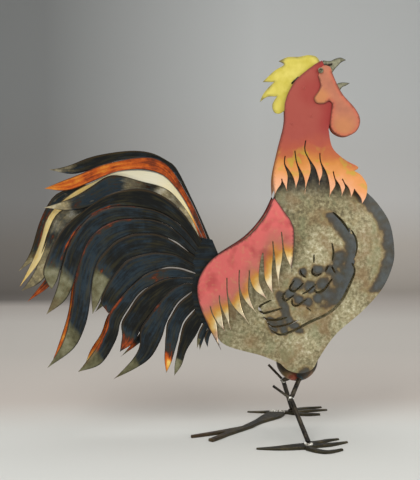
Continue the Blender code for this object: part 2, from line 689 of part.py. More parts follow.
def feet():
    look = material("olive_brown_plate", (0.06, 0.05, 0.03), 0.5, 0.6)
    near = []
    for line in ([(156, -116), (118, -122), (78, -121)],
                 [(161, -127), (176, -143), (192, -147), (216, -134)],
                 [(176, -113), (201, -108), (233, -91)],
                 [(166, -102), (186, -95), (200, -84), (222, -73)]):
        near += limb(line, TOE_ROOT, TOE_CLAW)
    back_palm, back_claw = (160, 105), (85, 117)
    far = []
    for line in ([back_palm, back_claw],
                 [(173, 97), (192, 88), (220, 89)],
                 [(180, 108), (205, 116), (240, 125)],
                 [(170, 117), (198, 133), (233, 147)]):
        far += limb(line, TOE_ROOT, TOE_CLAW)
    stay = smooth([(84, 5), (106, 36), (140, 68), (153, 90)])
    stay += [beside_toe(back_palm, back_claw, along) for along in (5, 34)]
    stay += smooth([(119, 97), (104, 70), (89, 41), (64, 4)])
    for line, tip in (([(31, -23), (6, -36), (-26, -51)], STAY_TIP),
                      ([(34, -40), (21, -57), (6, -75)], STAY_BLUNT)):
        stay += limb(line, STAY_HALF, tip)
    for name, outline in (("foot_near", near), ("foot_far", far), ("stay_foot", stay)):
        foot = flat_plate(name, [outline], FOOT_PLATE, parts, "XY")
        foot.location.z = FOOT_PLATE / 2
        foot.data.materials.append(look)


def centre_on_floor():
    """Moves the whole bird so that the origin is under the middle of its box."""
    bpy.context.view_layer.update()
    graph = bpy.context.evaluated_depsgraph_get()
    corners = []
    for obj in parts.objects:
        mesh_object = obj.evaluated_get(graph)
        mesh = mesh_object.to_mesh()
        corners += [obj.matrix_world @ v.co for v in mesh.vertices]
        mesh_object.to_mesh_clear()
    middle = [(min(c[i] for c in corners) + max(c[i] for c in corners)) / 2 for i in (0, 1)]
    base = bpy.data.objects.new("base_point", None)
    scene_group.objects.link(base)
    for obj in list(parts.objects) + list(cutters.objects):
        obj.parent = base
    base.location = (-middle[0], -middle[1], -min(c.z for c in corners))


remove_all()
scene_group = bpy.context.scene.collection
parts = bpy.data.collections.new(NAME)
cutters = bpy.data.collections.new(NAME + "_cutters")
scene_group.children.link(parts)
scene_group.children.link(cutters)

body_plates()
hackle_plates()
saddle_plates()
face_plates()
eyes()
comb_and_beak()
tail_sheets()
hip_bowl()
legs()
feet()
centre_on_floor()
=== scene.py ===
import math

import bmesh
import bpy
import numpy as np
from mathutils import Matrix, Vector, geometry


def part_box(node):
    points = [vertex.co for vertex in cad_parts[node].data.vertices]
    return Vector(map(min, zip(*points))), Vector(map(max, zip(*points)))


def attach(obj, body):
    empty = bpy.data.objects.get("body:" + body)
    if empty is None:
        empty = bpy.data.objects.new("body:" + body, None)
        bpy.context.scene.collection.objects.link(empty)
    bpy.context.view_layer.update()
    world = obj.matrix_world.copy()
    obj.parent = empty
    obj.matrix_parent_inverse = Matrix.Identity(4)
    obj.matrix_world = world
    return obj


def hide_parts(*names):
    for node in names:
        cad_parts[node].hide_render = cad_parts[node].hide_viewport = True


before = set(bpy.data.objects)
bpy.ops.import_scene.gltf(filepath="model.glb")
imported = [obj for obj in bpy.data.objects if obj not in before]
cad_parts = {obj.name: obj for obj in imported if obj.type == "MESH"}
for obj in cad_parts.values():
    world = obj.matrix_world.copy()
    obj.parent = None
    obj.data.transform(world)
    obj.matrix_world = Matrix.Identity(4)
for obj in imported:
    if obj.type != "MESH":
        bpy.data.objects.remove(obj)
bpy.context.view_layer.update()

# Body side plates
# Two mirrored 2.5 mm steel plates, pinched together at the neck and the tail
# and swelled apart between. The wing is flame-cut through both, but its small
# scallops only through the near one.

MM = 0.001
SHARP = 38
BODY_SHEET = 2.5
BELLY_HALF = 25.0
BREAST_SHARE = 0.40
COMB_SHEET = 3.0
TAIL_WEB = 2.6
GAP = 0.3
NECK_HALF = COMB_SHEET / 2 + GAP + BODY_SHEET / 2
TAIL_HALF = GAP / 2 + TAIL_WEB + GAP + BODY_SHEET / 2
WING_LIFT = 1.6

# The drawing is in millimetres, x towards the beak and z up from the floor,
# with y = 0 in the middle plane. The comb's front end, x = 201, ties it to the frame.
comb_low, comb_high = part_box("comb")
SHIFT = np.array([comb_high.x - 201 * MM, (comb_low.y + comb_high.y) / 2, 0.0])


def smooth(points, steps=6):
    """A Catmull-Rom curve through the points, from the first to the last."""
    ends = [points[0]] + list(points) + [points[-1]]
    curve = []
    for a, b, c, d in zip(ends, ends[1:], ends[2:], ends[3:]):
        for i in range(steps):
            t = i / steps
            curve.append(tuple(
                0.5 * (2 * q + (r - p) * t + (2 * p - 5 * q + 4 * r - s) * t * t
                       + (3 * q - p - 3 * r + s) * t ** 3)
                for p, q, r, s in zip(a, b, c, d)))
    curve.append(tuple(points[-1]))
    return curve


def joined(*curves):
    """Smooth curves run together, with a point that two of them share kept once."""
    line = []
    for points in curves:
        curve = smooth(points)
        line += curve[1:] if line and line[-1] == curve[0] else curve
    return line


def ease(value, start, end):
    """0 at start, 1 at end, with a soft turn at both."""
    t = np.clip((value - start) / (end - start), 0.0, 1.0)
    return t * t * (3 - 2 * t)


def left_of(line, i):
    """The unit vector to the left of a flat line at its point i."""
    ahead = line[min(i + 1, len(line) - 1)] - line[max(i - 1, 0)]
    return Vector((-ahead.y, ahead.x)).normalized()


def strip(points, steps, half_width):
    """Both edges of a strip along a smooth line, by its half width at each share of it."""
    line = [Vector(p) for p in smooth(points, steps)]
    left = []
    right = []
    for i, p in enumerate(line):
        side = left_of(line, i) * half_width(i / (len(line) - 1))
        left.append(tuple(p + side))
        right.append(tuple(p - side))
    return left, right


def slot(points, width):
    """A cut that swells to its width in the middle and tapers to both ends."""
    left, right = strip(points, 5, lambda share: (
        width / 2 * math.sin(math.pi * (0.06 + 0.88 * share)) ** 0.5))
    return left + right[::-1]


def reach(x, z, line):
    """Distance from each point to a line; positive on the left of its direction."""
    best = np.full(np.shape(x), 1e9)
    for (x0, z0), (x1, z1) in zip(line, line[1:]):
        run_x, run_z = x1 - x0, z1 - z0
        t = ((x - x0) * run_x + (z - z0) * run_z) / max(run_x ** 2 + run_z ** 2, 1e-9)
        t = np.clip(t, 0, 1)
        off_x, off_z = x - x0 - t * run_x, z - z0 - t * run_z
        away = np.hypot(off_x, off_z)
        away = np.where(run_x * off_z - run_z * off_x < 0, -away, away)
        best = np.where(np.abs(away) < np.abs(best), away, best)
    return best


def on_metal(x, z, loops):
    """True for points inside the first loop and outside the cuts."""
    odd = np.zeros(np.shape(x), bool)
    for loop in loops:
        for (x0, z0), (x1, z1) in zip(loop, loop[1:] + loop[:1]):
            if z0 != z1:
                crosses = (z0 > z) != (z1 > z)
                odd ^= crosses & (x < x0 + (z - z0) * (x1 - x0) / (z1 - z0))
    return odd


def mark(mesh, word, values):
    """Keeps a number for each vertex, as an attribute that the material reads."""
    layer = mesh.attributes.new(word, "FLOAT", "POINT")
    layer.data.foreach_set("value", values.astype(np.float32))


def sheet(name, loops, thickness, surface, masks, cell=5.0, side=-1, chamfer=0.35):
    """A plate cut to the loops and laid on a surface, with a small chamfer on each edge.

    surface(u, v) gives the middle of the sheet and its outward normal, in mm. The
    masks are functions of the flat pattern and become attributes of the mesh.
    """
    points = []
    edges = []
    for loop in loops:
        first = len(points)
        points += loop
        edges += [(first + i, first + (i + 1) % len(loop)) for i in range(len(loop))]
    us = [p[0] for p in loops[0]]
    vs = [p[1] for p in loops[0]]
    row, clearance = cell * 0.866, cell * 0.45
    grid = []
    for j, v in enumerate(np.arange(min(vs), max(vs), row)):
        for u in np.arange(min(us) + (j % 2) * cell / 2, max(us), cell):
            grid.append((u, v))
    grid = np.array(grid)
    keep = on_metal(grid[:, 0], grid[:, 1], loops)
    for loop in loops:
        keep &= np.abs(reach(grid[:, 0], grid[:, 1], loop + loop[:1])) > clearance
    points = [Vector(p) for p in points] + [Vector(p) for p in grid[keep]]
    flat, _, faces, *_ = geometry.delaunay_2d_cdt(points, edges, [], 1, 0.0001)
    flat = np.array([tuple(p) for p in flat])
    faces = np.array([f for f in faces if len(f) == 3])
    middle = flat[faces].mean(axis=1)
    faces = faces[on_metal(middle[:, 0], middle[:, 1], loops)]
    a, b, c = (flat[faces[:, i]] for i in range(3))
    turn = (b[:, 0] - a[:, 0]) * (c[:, 1] - a[:, 1]) - (b[:, 1] - a[:, 1]) * (c[:, 0] - a[:, 0])
    faces[turn < 0] = faces[turn < 0][:, ::-1]

    # Edges with one face are the rim; their inward normals give the chamfer's inset
    seen = {}
    for f in faces.tolist():
        for p, q in zip(f, f[1:] + f[:1]):
            seen[(p, q)] = True
    rim = [(p, q) for p, q in seen if (q, p) not in seen]
    inward = np.zeros_like(flat)
    for p, q in rim:
        along = flat[q] - flat[p]
        along = along / max(np.hypot(*along), 1e-9)
        inward[[p, q]] += (-along[1], along[0])
    length = np.hypot(inward[:, 0], inward[:, 1])[:, None]
    inward = np.where(length > 0.2, inward / np.maximum(length, 0.2), 0)

    count = len(flat)
    inset = flat + inward * chamfer
    edge_ids = sorted({i for pair in rim for i in pair})
    where = {v: i for i, v in enumerate(edge_ids)}
    ring = len(edge_ids)
    pattern = np.concatenate([inset, inset, flat[edge_ids], flat[edge_ids]])
    half = thickness / 2
    height = np.concatenate([
        np.full(count, half), np.full(count, -half),
        np.full(ring, half - chamfer), np.full(ring, chamfer - half)])
    centre, normal = surface(pattern[:, 0], pattern[:, 1])
    verts = (centre + normal * height[:, None]) * MM + SHIFT
    solid = [tuple(f) for f in faces.tolist()]
    solid += [tuple(count + i for i in reversed(f)) for f in faces.tolist()]
    for p, q in rim:
        tp, tq = 2 * count + where[p], 2 * count + where[q]
        solid += [(q, p, tp, tq), (tq, tp, tp + ring, tq + ring),
                  (tq + ring, tp + ring, count + p, count + q)]
    if side > 0:
        solid = [f[::-1] for f in solid]
    mesh = bpy.data.meshes.new(name)
    mesh.from_pydata(verts.tolist(), [], solid)
    for word, mask in masks.items():
        values = np.broadcast_to(mask(pattern[:, 0], pattern[:, 1]), (len(verts),))
        mark(mesh, word, values)
    mesh.shade_smooth()
    mesh.set_sharp_from_angle(angle=math.radians(SHARP))
    piece = bpy.data.objects.new(name, mesh)
    bpy.context.scene.collection.objects.link(piece)
    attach(piece, "root")
    return piece


def slopes(bend, x, z, step):
    """How fast a bend rises along x and along z, from a step to each side."""
    return ((bend(x + step, z) - bend(x - step, z)) / (2 * step),
            (bend(x, z + step) - bend(x, z - step)) / (2 * step))


def upright(bend, side):
    """A surface at y = side * bend(x, z), facing away from the middle plane."""
    def surface(x, z):
        slope_x, slope_z = slopes(bend, x, z, 0.5)
        centre = np.stack([x, side * bend(x, z), z], axis=1)
        normal = np.stack([-slope_x, side * np.ones_like(x), -slope_z], axis=1)
        return centre, normal / np.linalg.norm(normal, axis=1)[:, None]
    return surface


def body_bend(x, z):
    """Distance of a side plate's middle from the middle plane."""
    pinched = NECK_HALF + (TAIL_HALF - NECK_HALF) * ease(z, 450, 360)
    swell = ease(z, 480, 340) * ease(x, 2, 84)
    swell = swell * (1 - (1 - BREAST_SHARE) * ease(x, 250, 332))
    return pinched + (BELLY_HALF - pinched) * swell


back = smooth([(197, 634), (160, 604), (143, 577), (141, 537), (130, 490),
               (121, 446), (122, 411), (104, 374), (72, 338), (23, 306),
               (5, 288), (-9, 262), (-9, 226), (8, 186), (26, 158)])
under = joined([(26, 158), (43, 149), (95, 136), (130, 121)],
               [(130, 121), (142, 110), (163, 104), (184, 110), (194, 126)])
breast = smooth([(194, 126), (225, 171), (275, 214), (310, 251), (328, 290),
                 (330.7, 322), (322, 366), (300, 400), (279, 421)])
throat = smooth([(279, 421), (240, 460), (214, 510), (218, 556), (218, 582),
                 (213, 606), (210, 628), (197, 634)])
body_outline = back[:-1] + under[:-1] + breast[:-1] + throat[:-1]
wing_edge = smooth([(220, 384), (230, 375), (241, 362), (250, 350), (258, 338), (261, 324),
                    (257, 306), (256, 292), (256, 275), (248, 255), (235, 230), (213, 209),
                    (181, 194), (150, 178), (128, 172), (113, 181)])
leading = [
    slot([(220, 384), (230, 375), (241, 362), (248, 350)], 4.5),
    slot([(252, 353), (259, 340), (262, 324), (259, 308)], 4.0),
    slot([(253, 296), (258, 281), (248, 255), (235, 230), (213, 209), (181, 194),
          (150, 178), (128, 172), (113, 181)], 5.5),
]
primaries = [
    ([(113, 232), (93, 221), (98, 210), (112, 212), (132, 218)], 4.5),
    ([(99, 203), (108, 198), (124, 198), (141, 202)], 4.5),
    ([(106, 193), (113, 187), (124, 186), (142, 190), (160, 197)], 3.5),
]
scallops = [
    ([(138, 246), (133, 238), (138, 231), (152, 240)], 4.0),
    ([(149, 234), (150, 225), (158, 222), (174, 233)], 4.0),
    ([(174, 219), (182, 213)], 3.0),
    ([(153, 266), (145, 253), (153, 247), (169, 261)], 4.0),
    ([(167, 242), (179, 249), (191, 260)], 3.5),
    ([(187, 250), (194, 245), (206, 251), (219, 269)], 4.5),
    ([(163, 284), (166, 276), (173, 271)], 3.5),
    ([(185, 287), (184, 279), (192, 274), (200, 278)], 4.0),
    ([(212, 292), (207, 281)], 3.5),
    ([(218, 290), (224, 279)], 3.5),
    ([(187, 311), (187, 296)], 3.0),
    ([(218, 331), (221, 315), (219, 300)], 3.5),
]
primaries = [slot(*cut) for cut in primaries]
scallops = [slot(*cut) for cut in scallops]


def wing_bend(x, z):
    """The side plate with the wing dressed up along its cut leading edge."""
    inward = -reach(x, z, wing_edge)
    lift = WING_LIFT * ease(inward, -0.5, 1.5) * (1 - ease(inward, 4, 45))
    return body_bend(x, z) + lift * ease(z, 392, 378) * ease(x, 95, 125)


# Where the torch went: a band inside the wing's edge, a band down the breast, and
# soft marks in the crook of each scallop and across the long feathers.
def wing_burn(x, z):
    inward = -reach(x, z, wing_edge)
    wide = 13 + 5 * (1 - ease(z, 215, 300))
    band = np.where(inward > -1, 1 - ease(inward, wide * 0.45, wide * 2.2), 0)
    return band * ease(z, 196, 240) * ease(z, 390, 378)


def beside(lines, start, end, most=1.0):
    """A mask that is full beside the lines, up to start, and has faded out at end."""
    def mask(x, z):
        away = np.min([np.abs(reach(x, z, line)) for line in lines], axis=0)
        return most * (1 - ease(away, start, end))
    return mask


def breast_burn(x, z):
    inward = reach(x, z, breast)
    return 0.88 * (1 - ease(inward, 10, 33)) * ease(z, 238, 252)


BURN_SPOTS = [(146, 243, 9), (160, 232, 10), (158, 260, 11), (180, 254, 11), (203, 259, 12),
              (168, 281, 8), (193, 284, 10), (176, 229, 9), (217, 284, 11), (232, 268, 14),
              (212, 240, 15), (234, 250, 12), (194, 236, 9), (228, 296, 9), (240, 285, 9),
              (172, 101, 13), (232, 308, 12)]
BURN_BARS = [((127, 240), (138, 213)), ((134, 216), (146, 190)), ((128, 196), (137, 178)),
             ((112, 196), (118, 181)), ((150, 190), (164, 179))]


def spot_burn(x, z):
    burn = np.zeros(np.shape(x))
    for cx, cz, radius in BURN_SPOTS:
        away = np.hypot(x - cx, z - cz) / radius
        burn = np.maximum(burn, 0.95 * (1 - ease(away, 0.25, 1.75)))
    return np.maximum(burn, beside(BURN_BARS, 3, 13, 0.8)(x, z))


def far_burn(x, z):
    return np.maximum(wing_burn(x, z), breast_burn(x, z))


def near_burn(x, z):
    return np.maximum(far_burn(x, z), spot_burn(x, z))


# The paint is paler inside the wing and low on the belly, and taupe below the hackle: middle,
# radius and strength of each patch.
PAINT_PATCHES = [((203, 322), 52, 0.95), ((243, 208), 46, 0.45), ((168, 156), 40, 0.70),
                 ((295, 330), 60, 0.30), ((150, 275), 22, 0.40), ((215, 398), 60, -0.35),
                 ((170, 372), 46, -0.45), ((168, 330), 34, -0.45), ((95, 170), 40, -0.20)]


def paleness(x, z):
    pale = 0.42 + np.zeros(np.shape(x))
    for (cx, cz), radius, strength in PAINT_PATCHES:
        pale = pale + strength * (1 - ease(np.hypot(x - cx, z - cz), 0.2 * radius, radius))
    return np.clip(pale, 0, 1)


def below_slits(x, z):
    """How far a point lies below the line through the tops of the saddle's slits."""
    return (x - 130) * 0.734 - (z - 351) * 0.679


def soot_and_painted_shade(x, z):
    """Airbrushed soot and painted shade under and between the hackle's fingers, and painted
    shadow beside those of the saddle.
    """
    saddle_finger_shadow = (1 - ease(below_slits(x, z), 30, 75)) * ease(x, 176, 130)
    return np.maximum(ease(z, 398, 440), 0.35 * saddle_finger_shadow)


def colour(code):
    """An sRGB hex value as the linear colour that the shader takes."""
    parts = [int(code[i:i + 2], 16) / 255 for i in (1, 3, 5)]
    return (*[c / 12.92 if c <= 0.04045 else ((c + 0.055) / 1.055) ** 2.4 for c in parts], 1.0)


def feed(tree, node, links):
    """Gives a node's inputs a socket, a number or an sRGB hex colour each."""
    for place, value in dict(links).items():
        if isinstance(value, bpy.types.NodeSocket):
            tree.links.new(value, node.inputs[place])
        elif isinstance(value, str):
            node.inputs[place].default_value = colour(value)
        else:
            node.inputs[place].default_value = value


def add(tree, kind, out, links=(), stops=(), **settings):
    """Adds a node with its settings and links, and gives its output number out."""
    node = tree.nodes.new("ShaderNode" + kind)
    for word, value in settings.items():
        setattr(node, word, value)
    feed(tree, node, links)
    if stops:
        ramp = node.color_ramp
        while len(ramp.elements) > 1:
            ramp.elements.remove(ramp.elements[-1])
        ramp.elements[0].position = stops[0][0]
        ramp.elements[0].color = colour(stops[0][1])
        for position, code in stops[1:]:
            ramp.elements.new(position).color = colour(code)
    return node.outputs[out]


def finish(name, *noises):
    """A new material: its tree, its main shader, the object's coordinates and noises.

    Each noise is given by the size of its patches in metres and its detail.
    """
    mat = bpy.data.materials.new(name)
    mat.use_nodes = True
    tree = mat.node_tree
    place = add(tree, "TexCoord", 3)
    noises = [add(tree, "TexNoise", 0, {"Vector": place, "Scale": 1 / size, "Detail": detail})
              for size, detail in noises]
    return mat, tree, tree.nodes["Principled BSDF"], place, *noises


def waver(tree, value, noise, amount, span=(0.3, 0.7)):
    """Moves a value up and down by the amount, as a noise runs over its span."""
    drift = add(tree, "MapRange", 0, {"Value": noise, 1: span[0], 2: span[1], 3: -amount,
                                      4: amount})
    return add(tree, "Math", 0, {0: value, 1: drift}, operation="ADD")


def patches(tree, tone, value, span, share, over, **settings):
    """Lays a colour over the tone, from none to its share as a value runs over its span."""
    part = add(tree, "MapRange", 0, {"Value": value, 1: span[0], 2: span[1], 3: 0.0, 4: share})
    return add(tree, "Mix", 2, {0: part, 6: tone, 7: over}, data_type="RGBA", **settings)


def tinge(tree, tone, word, share, over):
    """Lays a colour over the tone where the mesh's attribute says, times a share."""
    part = add(tree, "Attribute", 2, attribute_name=word)
    part = add(tree, "Math", 0, {0: part, 1: share}, operation="MULTIPLY")
    return add(tree, "Mix", 2, {0: part, 6: tone, 7: over}, data_type="RGBA")


def coat(tree, shader, tone, metal, grain, rough, height, depth, span=(0.3, 0.7)):
    """Gives the shader its tone and metal, a roughness by the grain, and a relief."""
    gloss = add(tree, "MapRange", 0, {"Value": grain, 1: span[0], 2: span[1], 3: rough[0],
                                      4: rough[1]})
    relief = add(tree, "Bump", 0, {"Height": height, "Strength": 1.0, "Distance": depth})
    feed(tree, shader, {"Base Color": tone, "Metallic": metal, "Roughness": gloss,
                        "Normal": relief})


# Stone-coloured paint sponged over steel, satin. The sponge leaves 3 to 6 mm
# speckles, with rust-brown and green clouds; the torch marks run from brown to blue.
body_paint, tree, shader, _, fine, cloud, moss, wisps = finish(
    "sponged_paint_on_steel", (0.006, 4.0), (0.038, 3.0), (0.026, 2.0), (0.014, 3.0))
feed(tree, fine.node, {"Roughness": 0.65})
taupe = add(tree, "ValToRGB", 0, {"Fac": fine}, stops=[
    (0.32, "#564C34"), (0.46, "#766B4A"), (0.56, "#8F8460"), (0.70, "#ADA47E")])
stone = add(tree, "ValToRGB", 0, {"Fac": fine}, stops=[
    (0.32, "#857B58"), (0.46, "#A99E78"), (0.56, "#C2B894"), (0.70, "#E2DCC0")])
pale = add(tree, "Attribute", 2, attribute_name="pale")
pale = waver(tree, pale, wisps, 0.2)
tone = add(tree, "Mix", 2, {0: pale, 6: taupe, 7: stone}, data_type="RGBA")
tone = patches(tree, tone, cloud, (0.5, 0.66), 0.55, "#8A6A44")
tone = patches(tree, tone, moss, (0.52, 0.66), 0.4, "#868C66")
torn = add(tree, "MapRange", 0, {"Value": wisps, 1: 0.3, 2: 0.7, 3: 0.7, 4: 1.25})
# Soot and painted shade under and between the hackle's fingers, and painted shadow beside the
# saddle's fingers
tone = tinge(tree, tone, "soot_and_painted_shade", torn, "#211C12")
burn = add(tree, "Attribute", 2, attribute_name="burn")
burn = waver(tree, burn, wisps, 0.2)
heat = add(tree, "ValToRGB", 0, {"Fac": burn}, stops=[
    (0.10, "#A88C54"), (0.30, "#8A6E3C"), (0.46, "#665030"), (0.60, "#4A3F32"),
    (0.74, "#3D3B35"), (1.0, "#464C50")])
tone = patches(tree, tone, burn, (0.08, 0.56), 0.92, heat)
coat(tree, shader, tone, 0.25, fine, (0.44, 0.6), fine, 0.0003)

for word, side, cuts, bend, burnt in (
        ("near", -1, leading + primaries + scallops, wing_bend, near_burn),
        ("far", 1, leading + primaries, wing_bend, far_burn)):
    plate = sheet(f"body_plate_{word}", [body_outline] + cuts, BODY_SHEET, upright(bend, side),
                  {"burn": burnt, "soot_and_painted_shade": soot_and_painted_shade, "pale": paleness}, side=side)
    plate.data.materials.append(body_paint)
    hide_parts(f"body_side_{word}")

# Hackle plates
# A 2 mm plate on each side of the neck, its lower edge cut into flame-shaped
# fingers that flare off the body. Red lacquer, airbrushed to gold and peach.

TRIM_SHEET = 2.0
TRIM_STEP = BODY_SHEET / 2 + GAP + TRIM_SHEET / 2
HACKLE_FLARE = 9.0
FRINGE_KERF = 2.0
FLAME_STEPS = 14


def resample(points, steps):
    """The same line at even distances."""
    line = np.array(points, float)
    length = np.concatenate([[0], np.cumsum(np.hypot(*np.diff(line, axis=0).T))])
    want = np.linspace(0, length[-1], steps + 1)
    return np.stack([np.interp(want, length, line[:, i]) for i in (0, 1)], axis=1)


def fringe(tips, slits):
    """The edge of a plate cut into flame-shaped fingers, from tip to tip.

    Each slit has its middle line from the top down, and how late it opens. Its
    edges part from the width of the cut at the top to the tips on both sides.
    """
    points = [tips[0]]
    for (middle, late), left, right in zip(slits, tips, tips[1:]):
        left, right = Vector(left), Vector(right)
        mouth = (left + right) / 2
        line = [Vector(p) for p in resample(smooth(middle + [tuple(mouth)]), FLAME_STEPS)]
        rising = []
        falling = []
        for i, p in enumerate(line):
            share = i / FLAME_STEPS
            side = left_of(line, i)
            if side.dot(left - mouth) < 0:
                side = -side
            half = max(FRINGE_KERF / 2, (left - mouth).length * share ** late)
            blend = share ** 4
            rising.append(tuple(p + side * half * (1 - blend) + (left - mouth) * blend))
            falling.append(tuple(p - side * half * (1 - blend) + (right - mouth) * blend))
        points += rising[-2::-1] + falling
    return points


def on_body(x, z, step):
    """Distance of a plate that lies a step outside the side plate."""
    slope_x, slope_z = slopes(body_bend, x, z, 1.0)
    return body_bend(x, z) + step * np.sqrt(1 + slope_x ** 2 + slope_z ** 2)


def hackle_bend(x, z):
    flare = ease(z, 500, 400)
    return on_body(x, z, TRIM_STEP) + HACKLE_FLARE * flare * flare


hackle_tips = [(119, 411), (140, 422), (156, 425), (171, 415), (197, 431), (213, 409),
               (235, 412), (251, 411), (270, 399)]
hackle_slits = [
    ([(132, 442), (133, 430)], 1.4),
    ([(139, 482), (138, 468), (147, 447)], 1.5),
    ([(156, 491), (159, 471), (167, 445)], 2.0),
    ([(175, 509), (174, 490), (188, 459)], 3.0),
    ([(200, 487), (201, 473), (208, 450)], 2.0),
    ([(223, 455), (225, 443), (229, 429)], 2.0),
    ([(238, 442), (241, 435), (245, 425)], 1.6),
    ([(258, 424), (259, 415)], 1.0),
]
nape = smooth([(203, 648), (186, 638), (156, 612), (139, 577), (137, 537), (126, 492),
               (117, 446), (119, 411)])
front = smooth([(270, 399), (278, 412), (281, 431), (272, 448), (260, 456)])
notch = smooth([(260, 456), (267, 463), (244, 476), (222, 497), (215, 529)])
chin = smooth([(215, 529), (220, 554), (220, 582), (216, 604), (213, 622), (203, 648)])
hackle_outline = nape[:-1] + fringe(hackle_tips, hackle_slits)
hackle_outline += front[1:-1] + notch[:-1] + chin[:-1]


def hackle_flame(x, z):
    """1 at the tips of the fingers, 0 on the red neck 95 mm above them."""
    return 1 - np.abs(reach(x, z, hackle_tips)) / 95


def face_plate_shadow(x, z):
    """Painted shadow of the face plate on the neck: darker red beside the wattle along the
    throat, and behind the ear lobe.
    """
    wattle_shadow = beside([chin], 2, 30)(x, z) * ease(z, 500, 545)
    return wattle_shadow + 0.5 * (1 - ease(np.hypot(x - 186, z - 592), 10, 34))


# Darker along the nape's cut edge
dark_nape_edge = beside([nape], 0.4, 3.5)

# Sprayed lacquer over steel, satin and a little uneven, so its red drifts between
# brick and rose. The fingers are gold and peach, with a few yellow-green breaths.
hackle_lacquer, tree, shader, _, cloud, breath, fine = finish(
    "red_lacquer_on_steel", (0.045, 3.0), (0.015, 1.0), (0.007, 3.0))
flame = add(tree, "Attribute", 2, attribute_name="fade")
flame = waver(tree, flame, cloud, 0.13)
tone = add(tree, "ValToRGB", 0, {"Fac": flame}, stops=[
    (0.0, "#AE5043"), (0.20, "#B8573F"), (0.36, "#C46A3C"), (0.52, "#D68A3E"),
    (0.68, "#E49858"), (0.84, "#EAA67A"), (1.0, "#F0B890")])
ring = add(tree, "ValToRGB", 0, {"Fac": flame}, stops=[
    (0.20, "#000000"), (0.40, "#FFFFFF"), (0.60, "#FFFFFF"), (0.76, "#000000")])
gild = add(tree, "MapRange", 0, {"Value": breath, 1: 0.55, 2: 0.66, 3: 0.0, 4: 0.65})
gild = add(tree, "Math", 0, {0: gild, 1: ring}, operation="MULTIPLY")
tone = add(tree, "Mix", 2, {0: gild, 6: tone, 7: "#BCA432"}, data_type="RGBA")
# Painted shadow of the face plate: darker red beside the wattle and behind the ear lobe
tone = tinge(tree, tone, "face_shadow", 0.8, "#A02A28")
tone = tinge(tree, tone, "rim", 0.6, "#5C2C20")
coat(tree, shader, tone, 0.2, fine, (0.38, 0.5), cloud, 0.0006)

# Plug welds that hold the plate to the body show as small dimples in the lacquer
PLUG_WELDS = [(172, 600), (185, 551), (151, 538)]


def plug_ring(name, x, z, side, ring=1.7, lip=0.6):
    """A raised lip round a sunk plug weld, lying on a hackle plate."""
    middle, normal = upright(hackle_bend, side)(np.array([x]), np.array([z]))
    middle = Vector((middle[0] + normal[0] * (TRIM_SHEET / 2)) * MM + SHIFT)
    bpy.ops.mesh.primitive_torus_add(
        major_radius=ring * MM, minor_radius=lip * MM, major_segments=28,
        minor_segments=10, location=middle,
        rotation=Vector(normal[0]).to_track_quat("Z", "Y").to_euler())
    piece = bpy.context.object
    piece.name = name
    piece.data.materials.append(hackle_lacquer)
    piece.data.shade_smooth()
    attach(piece, "root")


for word, side in (("near", -1), ("far", 1)):
    plate = sheet(f"hackle_plate_{word}", [hackle_outline], TRIM_SHEET,
                  upright(hackle_bend, side),
                  {"fade": hackle_flame, "face_shadow": face_plate_shadow, "rim": dark_nape_edge},
                  cell=4.0, side=side)
    plate.data.materials.append(hackle_lacquer)
    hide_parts(f"neck_hackle_{word}")
    for number, (x, z) in enumerate(PLUG_WELDS):
        plug_ring(f"plug_weld_{word}_{number}", x, z, side)

# Saddle plates
# A 2 mm plate on each side of the back, its lower edge cut into long fingers
# that stand off the body. Coral lacquer, ground back to bright steel at the tips.

SADDLE_FLARE = 12.0


def saddle_bend(x, z):
    flare = ease(below_slits(x, z), -6, 72)
    return on_body(x, z, TRIM_STEP) + SADDLE_FLARE * flare * flare


saddle_tips = [(146, 281), (126, 250), (114, 245), (105, 234), (87, 210), (73, 193),
               (43, 181), (32, 178), (26, 146)]
saddle_slits = [
    ([(130, 350), (133, 323), (135, 299)], 2.6),
    ([(115, 334), (117, 309), (117, 282)], 1.0),
    ([(98, 314), (96, 289), (97, 264)], 0.5),
    ([(75, 284), (75, 266), (80, 244)], 1.5),
    ([(58, 284), (58, 254), (65, 226)], 2.2),
    ([(37, 270), (38, 240), (46, 213)], 3.0),
    ([(24, 239), (25, 225), (31, 204)], 1.3),
    ([(8, 220), (12, 206), (20, 190)], 4.0),
]
rear = smooth([(26, 146), (6, 182), (-10, 220), (-15, 248), (-11, 270), (1, 291),
               (21, 310), (70, 341), (101, 376), (118, 411)])
fore = smooth([(118, 411), (136, 385), (147, 368), (152, 350), (151, 318), (146, 281)])
saddle_outline = rear[:-1] + fore[:-1] + fringe(saddle_tips, saddle_slits)[:-1]


def saddle_flame(x, z):
    """1 at the tips of the fingers, 0 where the coral lacquer begins 80 mm above."""
    away = np.minimum(np.abs(reach(x, z, saddle_tips[:7])), np.hypot(x - 26, z - 146))
    return 1 - away / 80


# Darker along the back and front cut edges
dark_saddle_edge = beside([rear, fore], 0.3, 3.0)

# Coral lacquer with purple breaths, going over to gold. The tips are bare steel,
# heated to straw yellow and nearly white, so they shine more than the rest.
saddle_lacquer, tree, shader, _, cloud, breath, fine = finish(
    "coral_lacquer_on_steel", (0.034, 3.0), (0.030, 2.0), (0.007, 3.0))
flame = add(tree, "Attribute", 2, attribute_name="fade")
flame = waver(tree, flame, cloud, 0.12)
tone = add(tree, "ValToRGB", 0, {"Fac": flame}, stops=[
    (0.0, "#DC6863"), (0.14, "#D26A62"), (0.30, "#C0705E"), (0.42, "#C87E4C"),
    (0.52, "#D6983E"), (0.62, "#EEC474"), (0.74, "#FFECC0"), (1.0, "#FFEFD0")])
tone = patches(tree, tone, breath, (0.5, 0.68), 0.55, "#C08490", blend_type="MULTIPLY")
tone = patches(tree, tone, fine, (0.54, 0.7), 0.3, "#C89A68")
tone = tinge(tree, tone, "rim", 1.0, "#3E2018")
metal = add(tree, "MapRange", 0, {"Value": flame, 1: 0.35, 2: 0.7, 3: 0.2, 4: 0.7})
coat(tree, shader, tone, metal, flame, (0.44, 0.28), fine, 0.0001, span=(0.2, 0.8))

